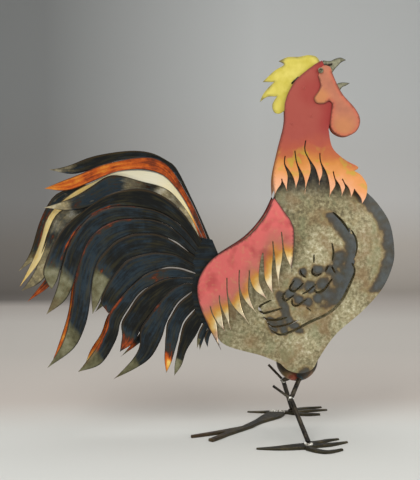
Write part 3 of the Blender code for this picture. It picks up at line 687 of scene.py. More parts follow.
for word, side in (("near", -1), ("far", 1)):
    plate = sheet(f"saddle_plate_{word}", [saddle_outline], TRIM_SHEET,
                  upright(saddle_bend, side), {"fade": saddle_flame, "rim": dark_saddle_edge},
                  cell=4.0, side=side)
    plate.data.materials.append(saddle_lacquer)
    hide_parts(f"saddle_{word}")

# Face and wattle plates
# A small 2 mm plate over each hackle plate, with the ear lobe and the hanging
# wattle in one piece. Salmon lacquer, redder along the edge.

FACE_STEP = TRIM_STEP + TRIM_SHEET + GAP


def face_bend(x, z):
    return on_body(x, z, FACE_STEP)


brow = smooth([(196, 620), (201, 635), (209, 639), (217, 636), (220, 628)])
cheek = smooth([(220, 628), (228, 609), (240, 588), (261, 565), (270, 545), (264, 526),
                (245, 516), (227, 521), (218, 534), (219, 555), (221, 572), (215, 578)])
lobe = smooth([(215, 578), (205, 573), (193, 574), (189, 583), (197, 595), (200, 605),
               (196, 620)])
face_outline = brow[:-1] + cheek[:-1] + lobe[:-1]


def face_gold(x, z):
    """The ear lobe and the bottom of the wattle are sprayed with gold."""
    lobe_part = 1 - ease(np.hypot(x - 199, z - 582), 9, 24)
    wattle_part = (1 - ease(np.hypot(x - 240, z - 530), 8, 34)) * 0.8
    return np.maximum(lobe_part, wattle_part)


# Salmon lacquer, satin, a little redder and darker along the cut edge
face_lacquer, tree, shader, _, fine, cloud = finish(
    "salmon_lacquer_on_steel", (0.006, 3.0), (0.022, 3.0))
tone = patches(tree, "#B46E54", cloud, (0.35, 0.65), 1.0, "#C87C5C")
tone = tinge(tree, tone, "gold", 0.7, "#D08A50")
tone = tinge(tree, tone, "rim", 0.6, "#D06048")
tone = tinge(tree, tone, "lip", 1.0, "#5A2A1E")
coat(tree, shader, tone, 0.15, fine, (0.42, 0.54), fine, 0.0001)

for word, side in (("near", -1), ("far", 1)):
    plate = sheet(f"face_plate_{word}", [face_outline], TRIM_SHEET, upright(face_bend, side),
                  {"rim": beside([cheek], 1, 9), "gold": face_gold,
                   "lip": beside([cheek, lobe], 0.2, 1.8, 0.8)},
                  cell=3.5, side=side)
    plate.data.materials.append(face_lacquer)
    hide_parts(f"face_wattle_{word}")

# Comb and beak
# One 3 mm yellow plate held between the two necks, and two small bare steel
# plates welded to the throat for the beak.

BEAK_SHEET = 3.0

crest = joined([(201, 645), (194, 655), (181, 658), (163, 655), (143, 654), (128, 647)],
               [(128, 647), (137, 641), (120, 630), (100, 611)],
               [(120, 611), (108, 599), (100, 588), (95, 576)],
               [(95, 576), (108, 585), (125, 586)],
               [(125, 586), (117, 572), (120, 559), (129, 556), (137, 560)])
comb_outline = crest + [(150, 566), (172, 596), (196, 622)]


def flat(x, z):
    return 0.0 * x


# Yellow lacquer, satin, cloudy, with soot from the torch along the cut edge
comb_lacquer, tree, shader, _, fine, cloud = finish(
    "yellow_lacquer_on_steel", (0.006, 4.0), (0.022, 3.0))
tone = patches(tree, "#CDBC42", cloud, (0.35, 0.65), 1.0, "#E4D468")
torn = add(tree, "MapRange", 0, {"Value": cloud, 1: 0.4, 2: 0.6, 3: 0.15, 4: 1.0})
tone = tinge(tree, tone, "rim", torn, "#7A6E38")
coat(tree, shader, tone, 0.1, fine, (0.42, 0.55), cloud, 0.0005)

plate = sheet("comb_plate", [comb_outline], COMB_SHEET, upright(flat, -1),
              {"rim": beside([crest], 0.3, 5)}, cell=4.0)
plate.data.materials.append(comb_lacquer)
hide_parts("comb")

# Bare steel, ground and left dull, with a dark line of scale along the cut
beak_steel, tree, shader, _, fine, cloud = finish(
    "ground_bare_steel", (0.003, 4.0), (0.012, 2.0))
tone = patches(tree, "#66644C", cloud, (0.4, 0.6), 1.0, "#98957A")
tone = patches(tree, tone, fine, (0.4, 0.65), 0.35, "#BCB89C")
tone = tinge(tree, tone, "rim", 1.0, "#2C2A20")
coat(tree, shader, tone, 0.6, fine, (0.35, 0.6), fine, 0.0002)

upper_beak = joined([(206, 649), (218, 648), (227, 652), (237, 654), (246, 650)],
                    [(246, 650), (238, 646), (232, 640), (228, 636), (222, 628)])
upper_beak += [(206, 626), (203, 640)]
lower_beak = joined([(226, 606), (231, 609), (240, 611), (253, 610)],
                    [(253, 610), (247, 606), (240, 603), (236, 598), (228, 592)])
lower_beak = [(214, 614), *lower_beak, (214, 600)]
for name, outline in (("beak_upper", upper_beak), ("beak_lower", lower_beak)):
    plate = sheet(f"{name}_plate", [outline], BEAK_SHEET, upright(flat, -1),
                  {"rim": beside([outline], 0.2, 1.6)}, cell=2.0)
    plate.data.materials.append(beak_steel)
    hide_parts(name)

# Tail sheets
# Two sheets welded into the pinched end of the body, each cut into long curved
# feathers of 1.5 mm steel that are bent apart and tinted with a torch.

FEATHER_SHEET = 1.5
WEB_SHEET = 1.9
KERF = 0.7
WEB_MIDDLE = GAP / 2 + TAIL_WEB / 2
TAIL_SPLAY = 42.0
FEATHER_TILT = 1.6
FEATHER_CROWN = 1.1
STATIONS = 44
SPLAY_RUN = 400
WEB_LAP = 9
NEVER_GROUND = 1.2

RIM = [(-4, 330), (-33, 375), (-63, 405), (-97, 422), (-130, 424), (-174, 411),
       (-229, 371), (-252, 344), (-268, 312), (-276, 280)]
CUT_1 = [(-13, 325), (-37, 355), (-65, 377), (-97, 390), (-147, 395), (-182, 386),
         (-205, 371), (-224, 348), (-236, 326)]
CUT_2 = [(-19, 319), (-40, 341), (-65, 361), (-97, 372), (-139, 372), (-161, 367),
         (-182, 355), (-202, 334), (-219, 291)]
CUT_3 = [(-24, 312), (-56, 334), (-85, 346), (-114, 347), (-130, 345), (-153, 335),
         (-170, 320), (-188, 297), (-196, 266)]
CUT_4 = [(-25, 295), (-51, 309), (-74, 313), (-96, 313), (-130, 304), (-147, 290),
         (-165, 266), (-177, 245)]
CUT_5 = [(-20, 278), (-45, 286), (-70, 287), (-96, 280), (-114, 269), (-135, 250),
         (-149, 234), (-167, 210)]
CUT_6 = [(-24, 269), (-52, 270), (-74, 266), (-100, 253), (-118, 239), (-133, 217),
         (-147, 193)]
CUT_7 = [(-25, 259), (-38, 259), (-58, 249), (-79, 228), (-100, 201), (-114, 179)]
CUT_8 = [(-26, 243), (-47, 226), (-61, 204), (-69, 187)]
CUT_9 = [(-21, 212), (-37, 193), (-44, 174)]

# Heat runs from 0, bare and cream, through straw 0.17, orange 0.3 and red-brown
# 0.45 to dark blue 0.7 and black 1. Each feather gives it at stops along its length.
# "edge" and "low" are strips along its upper and lower edge: start, end, heat and
# share of the width. "bare" is where the scale was ground off from there to the tip,
# "pale" how silvery it is along the way, and "splay" how far it is bent out.
NEAR_FEATHERS = [
    (RIM + [(-262, 254)], CUT_1 + [(-245, 298), (-253, 268), (-262, 254)],
     {"heat": [(0, 0.9), (0.3, 1.0), (0.75, 1.0), (0.9, 0.62), (1, 0.5)], "bare": 0.90,
      "low": (0.45, 0.85, 0.5, 0.2)}),
    (CUT_1 + [(-246, 292), (-254, 254), (-271, 211)],
     CUT_2 + [(-228, 258), (-242, 232), (-271, 211)],
     {"heat": [(0, 0.85), (0.5, 0.8), (0.74, 0.88), (0.82, 0.58), (1, 0.4)],
      "bare": 0.80, "edge": (0.35, 0.75, 0.47, 0.12)}),
    (CUT_2 + [(-225, 262), (-231, 215), (-243, 165), (-269, 121)],
     CUT_3 + [(-200, 225), (-207, 190), (-226, 152), (-269, 121)],
     {"heat": [(0, 0.9), (0.3, 0.76), (0.6, 0.72), (0.8, 0.86), (1, 0.6)], "bare": 0.81,
      "edge": (0.3, 0.9, 0.45, 0.12)}),
    (CUT_3 + [(-197, 240), (-195, 209)], CUT_4 + [(-186, 225), (-195, 209)],
     {"heat": [(0, 0.95), (0.4, 0.8), (0.62, 0.95), (0.72, 0.6), (1, 0.5)],
      "bare": 0.72}),
    (CUT_4 + [(-181, 228), (-170, 212)], CUT_5 + [(-170, 212)],
     {"heat": [(0, 0.9), (0.4, 0.72), (0.75, 0.72), (0.9, 0.85), (1, 0.46)]}),
    (CUT_5 + [(-172, 186), (-188, 152), (-220, 110)],
     CUT_6 + [(-157, 160), (-182, 122), (-220, 110)],
     {"heat": [(0, 0.8), (0.25, 0.6), (0.5, 0.8), (0.75, 0.95), (0.88, 0.7), (1, 0.5)],
      "bare": 0.84, "edge": (0.5, 0.97, 0.41, 0.3)}),
    (CUT_6 + [(-146, 170), (-149, 142)], CUT_7 + [(-126, 157), (-149, 142)],
     {"heat": [(0, 0.8), (0.3, 0.95), (0.75, 0.9), (0.86, 0.46), (0.94, 0.42), (1, 0.6)]}),
    (CUT_7 + [(-115, 152), (-128, 128), (-160, 95)],
     CUT_8 + [(-80, 158), (-97, 130), (-123, 112), (-160, 95)],
     {"heat": [(0, 0.85), (0.35, 0.7), (0.7, 0.9), (1, 0.45)], "bare": 0.76,
      "edge": (0.1, 0.5, 0.52, 0.12)}),
    (CUT_8 + [(-71, 150), (-72, 127), (-69, 103)], CUT_9 + [(-52, 148), (-60, 121), (-69, 103)],
     {"heat": [(0, 0.95), (0.35, 0.74), (0.62, 0.7), (0.76, 0.56), (0.84, 0.16), (1, 0.3)],
      "bare": 0.96, "edge": (0.78, 1.0, 0.38, 0.4)}),
    (CUT_9 + [(-49, 144), (-54, 118), (-55, 98)],
     [(-2, 198), (-16, 170), (-33, 142), (-42, 116), (-55, 98)],
     {"heat": [(0, 0.95), (0.7, 0.9), (1, 0.5)], "bare": 0.74}),
    ([(-4, 190), (-14, 168), (-15, 144)], [(3, 186), (-6, 165), (-15, 144)],
     {"heat": [(0, 0.9), (0.6, 0.6), (1, 0.4)], "bare": 0.6}),
    ([(6, 184), (-2, 164), (4, 146)], [(14, 178), (7, 164), (4, 146)],
     {"heat": [(0, 0.95), (1, 0.8)]}),
]

# The far sheet has a top group of its own, and feathers below it that show past
# the near ones. Their roots are hidden.
FAR_FEATHERS = [
    ([(12, 328), (-6, 370), (-22, 405), (-49, 459), (-67, 475), (-97, 489), (-138, 492),
      (-197, 483), (-245, 466), (-278, 460)],
     [(5, 332), (-15, 382), (-36, 422), (-57, 456), (-78, 473), (-111, 479), (-158, 474),
      (-206, 458), (-240, 452), (-278, 460)],
     {"splay": 1.15, "heat": [(0, 0.95), (0.45, 0.85), (0.8, 1.0), (0.9, 0.9), (1, 0.6)],
      "pale": [(0, 0), (0.2, 0.2), (0.5, 0.05), (0.8, 0.1), (0.93, 0.5), (1, 0.8)]}),
    ([(5, 332), (-15, 382), (-36, 422), (-57, 456), (-78, 474), (-111, 480), (-174, 469),
      (-224, 450), (-256, 438), (-285, 426)],
     [(-1, 332), (-32, 396), (-53, 428), (-76, 450), (-112, 459), (-156, 455), (-197, 439),
      (-233, 425), (-256, 422), (-285, 426)],
     {"splay": 0.95, "heat": [(0, 0.55), (0.25, 0.45), (0.5, 0.38), (0.9, 0.36), (1, 0.28)]}),
    ([(-1, 332), (-32, 396), (-53, 428), (-76, 450), (-112, 458), (-156, 455), (-188, 441),
      (-229, 421), (-263, 394), (-281, 369), (-292, 334), (-305, 303), (-332, 250)],
     [(-7, 332), (-34, 382), (-50, 404), (-69, 424), (-104, 434), (-151, 437), (-184, 426),
      (-224, 407), (-254, 386), (-271, 362), (-282, 328), (-295, 295), (-332, 250)],
     {"splay": 0.8, "heat": [(0, 0.6), (0.12, 0.1), (0.3, 0.02), (0.46, 0.04), (0.54, 0.13),
                             (0.95, 0.12), (1, 0.2)]}),
    ([(-7, 332), (-20, 366), (-40, 397), (-67, 424), (-112, 438), (-151, 448), (-174, 445),
      (-202, 427), (-236, 408), (-283, 392)],
     [(-12, 332), (-28, 366), (-44, 388), (-66, 406), (-97, 417), (-129, 420), (-156, 414),
      (-197, 395), (-236, 387), (-283, 392)],
     {"splay": 0.5, "heat": [(0, 0.7), (0.3, 0.64), (0.8, 0.66), (1, 0.6)],
      "pale": [(0, 0.2), (0.06, 1.1), (0.20, 1.1), (0.26, 0.5), (0.34, 1.0), (0.40, 0.2),
               (0.50, 0.9), (0.58, 0.05), (0.84, 0.2), (0.91, 1.4), (1, 1.6)]}),
    ([(-10, 322), (-60, 396), (-120, 436), (-190, 436), (-238, 426), (-263, 417), (-280, 398),
      (-297, 364), (-316, 310), (-339, 276)],
     [(-14, 318), (-64, 386), (-122, 424), (-190, 424), (-234, 412), (-258, 399), (-274, 380),
      (-288, 344), (-303, 303), (-339, 276)],
     {"splay": 1.4, "heat": [(0, 0.9), (0.66, 0.74), (0.78, 0.5), (0.88, 0.56), (1, 0.5)],
      "pale": [(0, 0.1), (0.6, 0.2), (0.9, 0.1), (0.94, 0.7), (1, 0.8)], "bare": 0.91}),
    ([(-14, 318), (-64, 380), (-122, 410), (-190, 408), (-234, 396), (-262, 380), (-278, 350),
      (-291, 312), (-307, 274), (-330, 242)],
     [(-18, 312), (-68, 366), (-122, 392), (-186, 390), (-222, 374), (-244, 350), (-258, 316),
      (-276, 282), (-299, 255), (-330, 242)],
     {"splay": 1.1, "heat": [(0, 0.9), (0.6, 0.7), (0.74, 0.7), (1, 0.5)],
      "pale": [(0, 0.1), (0.45, 0.1), (0.62, 0.55), (0.76, 0.3), (0.82, 0.85), (1, 0.8)],
      "bare": 0.79}),
    ([(-18, 312), (-70, 362), (-124, 384), (-184, 378), (-224, 358), (-250, 322), (-267, 290),
      (-285, 263), (-317, 224)],
     [(-20, 306), (-74, 350), (-126, 368), (-178, 362), (-214, 342), (-238, 310), (-259, 277),
      (-279, 250), (-317, 224)],
     {"splay": 0.9, "heat": [(0, 0.9), (0.8, 0.95), (0.88, 0.45), (1, 0.36)]}),
    ([(-19, 316), (-66, 358), (-100, 368), (-139, 368), (-182, 351), (-208, 326), (-226, 290),
      (-236, 250), (-243, 206), (-257, 161), (-272, 121)],
     [(-22, 310), (-66, 346), (-100, 357), (-139, 356), (-170, 342), (-192, 318), (-207, 285),
      (-215, 245), (-224, 198), (-241, 152), (-272, 121)],
     {"splay": 0.85, "heat": [(0, 0.9), (0.45, 0.6), (0.6, 0.4), (0.97, 0.34), (1, 0.45)]}),
    ([(-20, 290), (-60, 304), (-96, 304), (-130, 294), (-160, 262), (-180, 234), (-195, 207)],
     [(-22, 282), (-60, 294), (-96, 293), (-126, 282), (-150, 254), (-172, 226), (-195, 207)],
     {"splay": 0.9, "heat": [(0, 0.9), (0.8, 0.9), (1, 0.6)], "bare": 0.8}),
    ([(-20, 276), (-45, 284), (-70, 285), (-98, 277), (-122, 259), (-146, 232), (-171, 204),
      (-184, 170), (-203, 140), (-217, 104)],
     [(-24, 269), (-45, 274), (-70, 275), (-93, 266), (-115, 247), (-138, 220), (-156, 194),
      (-166, 165), (-186, 133), (-217, 104)],
     {"splay": 0.85, "heat": [(0, 0.9), (0.55, 0.5), (0.7, 0.36), (0.9, 0.34), (0.95, 0.02),
                              (1, 0.15)]}),
    ([(-25, 258), (-56, 248), (-82, 222), (-104, 193), (-120, 165), (-150, 128)],
     [(-27, 250), (-52, 238), (-74, 214), (-92, 186), (-108, 160), (-150, 128)],
     {"splay": 0.8, "heat": [(0, 0.9), (0.7, 0.9), (0.84, 0.34), (1, 0.6)], "bare": 0.9}),
    ([(-24, 236), (-46, 214), (-58, 190), (-64, 165), (-66, 118)],
     [(-22, 226), (-38, 206), (-48, 184), (-54, 160), (-66, 118)],
     {"splay": 0.8, "heat": [(0, 0.9), (0.8, 0.7), (1, 0.4)], "bare": 0.8}),
    ([(-18, 205), (-34, 184), (-42, 160), (-44, 118)],
     [(-8, 200), (-20, 178), (-30, 154), (-44, 118)],
     {"splay": 0.7, "heat": [(0, 0.9), (1, 0.7)], "bare": 0.8}),
    ([(-4, 190), (-12, 166), (-10, 140)], [(6, 186), (-1, 166), (-10, 140)],
     {"splay": 0.8, "heat": [(0, 0.9), (1, 0.6)], "bare": 0.8}),
]


# Where daylight shows between two feathers of the near sheet: the number of the
# cut, and how far along it the gap is open, in millimetres
OPEN_CUTS = {3: (0, 42), 5: (0, 56), 6: (82, 170), 8: (0, 80), 9: (0, 60)}
OPEN_WIDTH = 1.3


def tube(rows, around):
    """The faces between rings of points that each have the same number of them."""
    return [(i + k, i + (k + 1) % around, i + (k + 1) % around + around, i + k + around)
            for i in range(0, (rows - 1) * around, around) for k in range(around)]


def along_stops(stops, share):
    """Values at stops along a feather, run together between them."""
    return np.interp(share, [s[0] for s in stops], [s[1] for s in stops])


def feather(upper, lower, look, side, cuts):
    """One cut feather as a closed strip; its vertices, faces, and the masks along it.

    It starts inside the web, runs out from the middle plane, leans its upper edge
    to the near side, and is crowned a little across its width.
    """
    top = resample(smooth(upper, 8), STATIONS)
    low = resample(smooth(lower, 8), STATIONS)
    lap = [p[:1] + (p[0] - p[1]) / np.hypot(*(p[0] - p[1])) * WEB_LAP
           for p in (top, low)]
    top, low = np.concatenate([lap[0], top]), np.concatenate([lap[1], low])
    across = low - top
    width = np.hypot(across[:, 0], across[:, 1])
    unit = across / np.maximum(width, 1e-6)[:, None]
    middle = (top + low) / 2
    run = np.concatenate([[0, 0], np.cumsum(np.hypot(*np.diff(middle[1:], axis=0).T))])
    insets = []
    for cut in cuts:
        start, end = OPEN_CUTS.get(cut, (0, -1))
        daylight = ease(run, start - 6, start + 6) * ease(run, end + 10, end - 6)
        if end < 0:
            daylight = 0
        insets.append(np.minimum(KERF / 2 + OPEN_WIDTH * daylight, width * 0.3))
    top, low = top + unit * insets[0][:, None], low - unit * insets[1][:, None]
    out = side * (WEB_MIDDLE + TAIL_SPLAY * look.get("splay", 1.0) * (run / SPLAY_RUN) ** 1.5)
    tilt = FEATHER_TILT * ease(run, 20, 120) * np.minimum(1, width / 14)
    crown = FEATHER_CROWN * ease(run, 20, 90) * np.minimum(1, width / 16)
    half = FEATHER_SHEET / 2
    thin = 0.3
    section = [(c, half) for c in (0.0, 0.1, 0.3, 0.5, 0.7, 0.9, 1.0)]
    section += [(1.02, half - thin), (1.02, thin - half)]
    section += [(c, -half) for c in (1.0, 0.9, 0.7, 0.5, 0.3, 0.1, 0.0)]
    section += [(-0.02, thin - half), (-0.02, half - thin)]
    verts = []
    along = []
    share = []
    rim = []
    reached = run / run[-1]
    for i in range(len(top)):
        for c, h in section:
            x, z = top[i] + (low[i] - top[i]) * c
            y = out[i] + tilt[i] * (2 * c - 1) + side * crown[i] * 4 * c * (1 - c) - h
            verts.append((x, y, z))
            along.append(reached[i])
            share.append(min(max(c, 0), 1))
            rim.append(min(c, 1 - c) < 0.02)
    around = len(section)
    faces = [tuple(range(around)), tuple(reversed(range(len(verts) - around, len(verts))))]
    faces += [(b, a, d, c) for a, b, c, d in tube(len(top), around)]
    along, share = np.array(along), np.array(share)
    heat = along_stops(look["heat"], along)
    for word, place in (("edge", 1 - share), ("low", share)):
        if word in look:
            start, end, value, wide = look[word]
            amount = ease(along, start - 0.06, start) * ease(along, end + 0.04, end)
            amount = amount * ease(place, 1 - 1.2 * wide, 1 - 0.5 * wide)
            heat = heat + (value - heat) * amount
    ground_from = look.get("bare", NEVER_GROUND)
    bare = ease(along, ground_from - 0.012, ground_from + 0.012)
    pale = along_stops(look.get("pale", [(0, 0)]), along)
    return np.array(verts), faces, {
        "temper": heat, "bare": bare, "pale": pale, "rim": np.array(rim, float),
        "along": along * run[-1], "share": share * width.max()}


def tail_sheet(name, web, feathers, side):
    """The web of a tail sheet with its feathers, as one mesh."""
    surface = upright(lambda x, z: WEB_MIDDLE + 0 * x, side)
    piece = sheet(name, [web], WEB_SHEET, surface, {
        "temper": lambda x, z: 0.82 + 0 * x, "bare": flat, "pale": flat,
        "rim": lambda x, z: 0.3 + 0 * x, "along": lambda x, z: x, "share": lambda x, z: z},
        side=side)
    meshes = [piece.data]
    for number, (upper, lower, look) in enumerate(feathers):
        cuts = (number, number + 1) if side < 0 else (None, None)
        verts, faces, masks = feather(upper, lower, look, side, cuts)
        mesh = bpy.data.meshes.new("feather")
        mesh.from_pydata((verts * MM + SHIFT).tolist(), [], faces)
        for word, values in masks.items():
            mark(mesh, word, values)
        meshes.append(mesh)
    work = bmesh.new()
    for mesh in meshes:
        work.from_mesh(mesh)
    bmesh.ops.recalc_face_normals(work, faces=work.faces)
    work.to_mesh(piece.data)
    work.free()
    for mesh in meshes[1:]:
        bpy.data.meshes.remove(mesh)
    piece.data.shade_smooth()
    piece.data.set_sharp_from_angle(angle=math.radians(SHARP))
    return piece


# Mild steel tinted with a torch, from straw and orange to blue and black oxide,
# rubbed along the feather. Where the scale was ground off it is grey-olive and dull.
tinted_steel, tree, shader, _, cloud = finish("torch_tinted_steel", (0.024, 4.0))
feed(tree, cloud.node, {"Roughness": 0.65})
length = add(tree, "Attribute", 2, attribute_name="along")
length = add(tree, "Math", 0, {0: length, 1: 0.030}, operation="MULTIPLY")
width = add(tree, "Attribute", 2, attribute_name="share")
width = add(tree, "Math", 0, {0: width, 1: 0.22}, operation="MULTIPLY")
rubbed = add(tree, "CombineXYZ", 0, {0: length, 1: width})
streak = add(tree, "TexNoise", 0, {"Vector": rubbed, "Scale": 1.0, "Detail": 5.0,
                                   "Roughness": 0.62})
olive = add(tree, "TexNoise", 0, {"Vector": rubbed, "Scale": 0.7, "Detail": 3.0})
heat = add(tree, "Attribute", 2, attribute_name="temper")
both = add(tree, "Math", 0, {0: streak, 1: cloud}, operation="ADD")
drift = add(tree, "MapRange", 0, {"Value": both, 1: 0.6, 2: 1.4, 3: -0.26, 4: 0.26})
room = add(tree, "Math", 0, {0: heat, 1: 1.6}, operation="MULTIPLY", use_clamp=True)
drift = add(tree, "Math", 0, {0: drift, 1: room}, operation="MULTIPLY")
heat = add(tree, "Math", 0, {0: heat, 1: drift}, operation="ADD")
tone = add(tree, "ValToRGB", 0, {"Fac": heat}, stops=[
    (0.0, "#E8E4D2"), (0.08, "#FAE8B0"), (0.17, "#F8CC66"), (0.27, "#E88E28"),
    (0.37, "#CE5C12"), (0.45, "#8E3A12"), (0.53, "#46291A"), (0.60, "#303432"),
    (0.68, "#273640"), (0.80, "#1B242A"), (0.90, "#141614"), (1.0, "#0C0D0B")])
patch = add(tree, "MapRange", 0, {"Value": olive, 1: 0.5, 2: 0.66, 3: 0.0, 4: 0.6})
dark = add(tree, "MapRange", 0, {"Value": heat, 1: 0.5, 2: 0.62})
patch = add(tree, "Math", 0, {0: patch, 1: dark}, operation="MULTIPLY")
tone = add(tree, "Mix", 2, {0: patch, 6: tone, 7: "#3E381E"}, data_type="RGBA")
# Brown along each feather's upper edge: oxide, and partly a painted highlight where that edge
# catches the light
upper_edge_oxide_and_highlight = add(tree, "Attribute", 2, attribute_name="share")
upper_edge_oxide_and_highlight = add(tree, "MapRange", 0, {"Value": upper_edge_oxide_and_highlight, 1: 0.8, 2: 4.5, 3: 0.75, 4: 0.0})
upper_edge_oxide_and_highlight = add(tree, "Math", 0, {0: upper_edge_oxide_and_highlight, 1: dark}, operation="MULTIPLY")
tone = add(tree, "Mix", 2, {0: upper_edge_oxide_and_highlight, 6: tone, 7: "#5A441F"}, data_type="RGBA")
ground = add(tree, "ValToRGB", 0, {"Fac": cloud}, stops=[
    (0.36, "#545034"), (0.5, "#757152"), (0.64, "#928E70")])
tone = tinge(tree, tone, "bare", 0.92, ground)
silver = add(tree, "ValToRGB", 0, {"Fac": cloud}, stops=[
    (0.38, "#8C8268"), (0.50, "#B8A67C"), (0.60, "#DCCFAC"), (0.72, "#F8F2E0")])
pale = add(tree, "Attribute", 2, attribute_name="pale")
pale = waver(tree, pale, both, 0.22, span=(0.7, 1.3))
tone = patches(tree, tone, pale, (0.25, 1.0), 0.95, silver)
# Near-black on each feather's cut edges: the dark cut itself, and painted shade of the slits
# between the feathers
tone = tinge(tree, tone, "rim", 0.9, "#0C0B09")
metal = add(tree, "MapRange", 0, {"Value": heat, 1: 0.1, 2: 0.5, 3: 0.15, 4: 0.55})
coat(tree, shader, tone, metal, streak, (0.32, 0.52), both, 0.0003)

web_rear = [(-4, 340), (-8, 330), (-17, 316), (-22, 296), (-17, 279), (-22, 264),
            (-24, 244), (-19, 212), (-6, 192), (2, 180)]
web_front = [(18, 176), (30, 198), (36, 230), (36, 268), (30, 292), (14, 316)]
far_rear = [(-10, 340), *web_rear[2:8], (-8, 192), (2, 180)]
far_front = [*web_front[:5], (22, 312), (12, 336)]
for word, side, web, feathers, look in (
        ("near", -1, web_rear + web_front, NEAR_FEATHERS, "blued_steel"),
        ("far", 1, far_rear + far_front, FAR_FEATHERS, "heat_tinted_steel")):
    tail = tail_sheet(f"tail_{word}", web, feathers, side)
    tail.data.materials.append(tinted_steel)
    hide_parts(f"tail_sheet_{word}")

# Hip bowl
# A dished cap of 2.5 mm steel under the belly, its rim between the side plates.
# It was pressed hot and its oxide left on, so it runs from gold to red and teal.

BOWL_RADIUS = 36.8
BOWL_DROP = 36.8
BOWL_WALL = 2.5
BOWL_RIM_Z = 122.4
BOWL_DEPTH = BELLY_HALF - BODY_SHEET / 2 - GAP
HIP_X = 162
BOWL_SIDES = 72
BOWL_RINGS = 20
LIP_RISE = 12

profile = []
for i in range(BOWL_RINGS + 1):
    a = math.pi / 2 * i / BOWL_RINGS
    profile.append((math.cos(a), math.sin(a), 0.0))
rim_turn = [(1.0, -0.02, 0.0), (1.0, -0.04, 0.35), (1.0, -0.04, 0.65), (1.0, -0.02, 1.0)]
profile = profile[::-1] + rim_turn + [(c, d, 1.0) for c, d, _ in profile]
verts = []
for reach_out, depth, inside in profile:
    for k in range(BOWL_SIDES):
        a = 2 * math.pi * k / BOWL_SIDES
        wall = BOWL_WALL * inside
        verts.append((HIP_X + math.cos(a) * reach_out * (BOWL_RADIUS - wall),
                      math.sin(a) * reach_out * (BOWL_DEPTH - wall),
                      BOWL_RIM_Z - depth * (BOWL_DROP - wall if depth > 0 else LIP_RISE)))


def shape(name, verts, faces, mat, sharp=SHARP):
    """A closed mesh from points in millimetres, riding on the one body."""
    mesh = bpy.data.meshes.new(name)
    mesh.from_pydata([tuple(np.array(v) * MM + SHIFT) for v in verts], [], faces)
    work = bmesh.new()
    work.from_mesh(mesh)
    bmesh.ops.remove_doubles(work, verts=work.verts, dist=0.0001 * MM)
    bmesh.ops.recalc_face_normals(work, faces=work.faces)
    work.to_mesh(mesh)
    work.free()
    mesh.shade_smooth()
    mesh.set_sharp_from_angle(angle=math.radians(sharp))
    piece = bpy.data.objects.new(name, mesh)
    bpy.context.scene.collection.objects.link(piece)
    piece.data.materials.append(mat)
    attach(piece, "root")
    return piece


# Hot-pressed mild steel with its scale on: brown-black, and rainbow tints where the
# torch ran when the legs were welded to it. Half gloss.
bowl_steel, tree, shader, place, wisps = finish("hot_pressed_tinted_steel", (0.012, 4.0))
across = add(tree, "SeparateXYZ", 0, {0: place})
bowl_left, bowl_right = ((HIP_X + way * BOWL_RADIUS) * MM + SHIFT[0] for way in (-1, 1))
across = add(tree, "MapRange", 0, {"Value": across, 1: bowl_left, 2: bowl_right})
across = waver(tree, across, wisps, 0.09)
tint = add(tree, "ValToRGB", 0, {"Fac": across}, stops=[
    (0.0, "#6E6034"), (0.16, "#8A7040"), (0.26, "#B08460"), (0.36, "#A84E38"),
    (0.46, "#8A4038"), (0.54, "#3E5E6A"), (0.62, "#35474C"), (0.70, "#5A4430"),
    (0.80, "#AA7C5C"), (0.90, "#8A7442"), (1.0, "#5E5634")])
low = add(tree, "SeparateXYZ", 2, {0: place})
tone = patches(tree, "#352C1E", low, (0.108, 0.094), 0.9, tint)
tone = patches(tree, tone, wisps, (0.5, 0.66), 0.6, "#241E16")
coat(tree, shader, tone, 0.6, wisps, (0.3, 0.5), wisps, 0.0004)
bowl = shape("pressed_hip_bowl", verts, tube(len(profile), BOWL_SIDES), bowl_steel)
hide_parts("hip_bowl")

# Legs
# Each is a thigh and a shank of 8 mm round bar, and a spur of 4.5 mm bar, cut to
# length and welded together at the knee, under the bowl and on top of the foot.

ROD_SIDES = 24
BEAD_SIDES = 12
LEG_BAR = 8.0
SPUR_BAR = 4.5
FOOT_PLATE = 5.0
LEGS = {
    "near": {"hip": (163, -12), "knee": (145, -45, 64), "ankle": (164, -114),
             "spur": (114, -46, 87)},
    "far": {"hip": (155, 12), "knee": (142, 33, 80), "ankle": (169, 105),
            "spur": (116, 40, 107)},
}


def circle(middle, axis, radius, angles):
    """Points round an axis, one for each angle."""
    side = axis.orthogonal().normalized()
    other = axis.cross(side)
    return [middle + (side * math.cos(a) + other * math.sin(a)) * radius for a in angles]


def full_turn(count):
    return [2 * math.pi * k / count for k in range(count)]


def rod(name, start, end, diameter, node):
    """A round bar with eased ends, very slightly uneven along its length."""
    start, end = Vector(start), Vector(end)
    along = (end - start).normalized()
    radius = diameter / 2
    length = (end - start).length
    rings = [(0.0, 0.0), (0.0, radius - 0.7), (0.25, radius - 0.2), (0.7, radius)]
    rings += [(t, radius * (1 + 0.012 * math.sin(0.9 * t) * math.sin(0.23 * t + 1)))
              for t in np.arange(2.0, length - 1.5, 2.0)]
    rings += [(length - t, r) for t, r in rings[3::-1]]
    verts = []
    for t, r in rings:
        verts += circle(start + along * t, along, r, full_turn(ROD_SIDES))
    piece = shape(name, verts, tube(len(rings), ROD_SIDES), bar_steel)
    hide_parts(node)


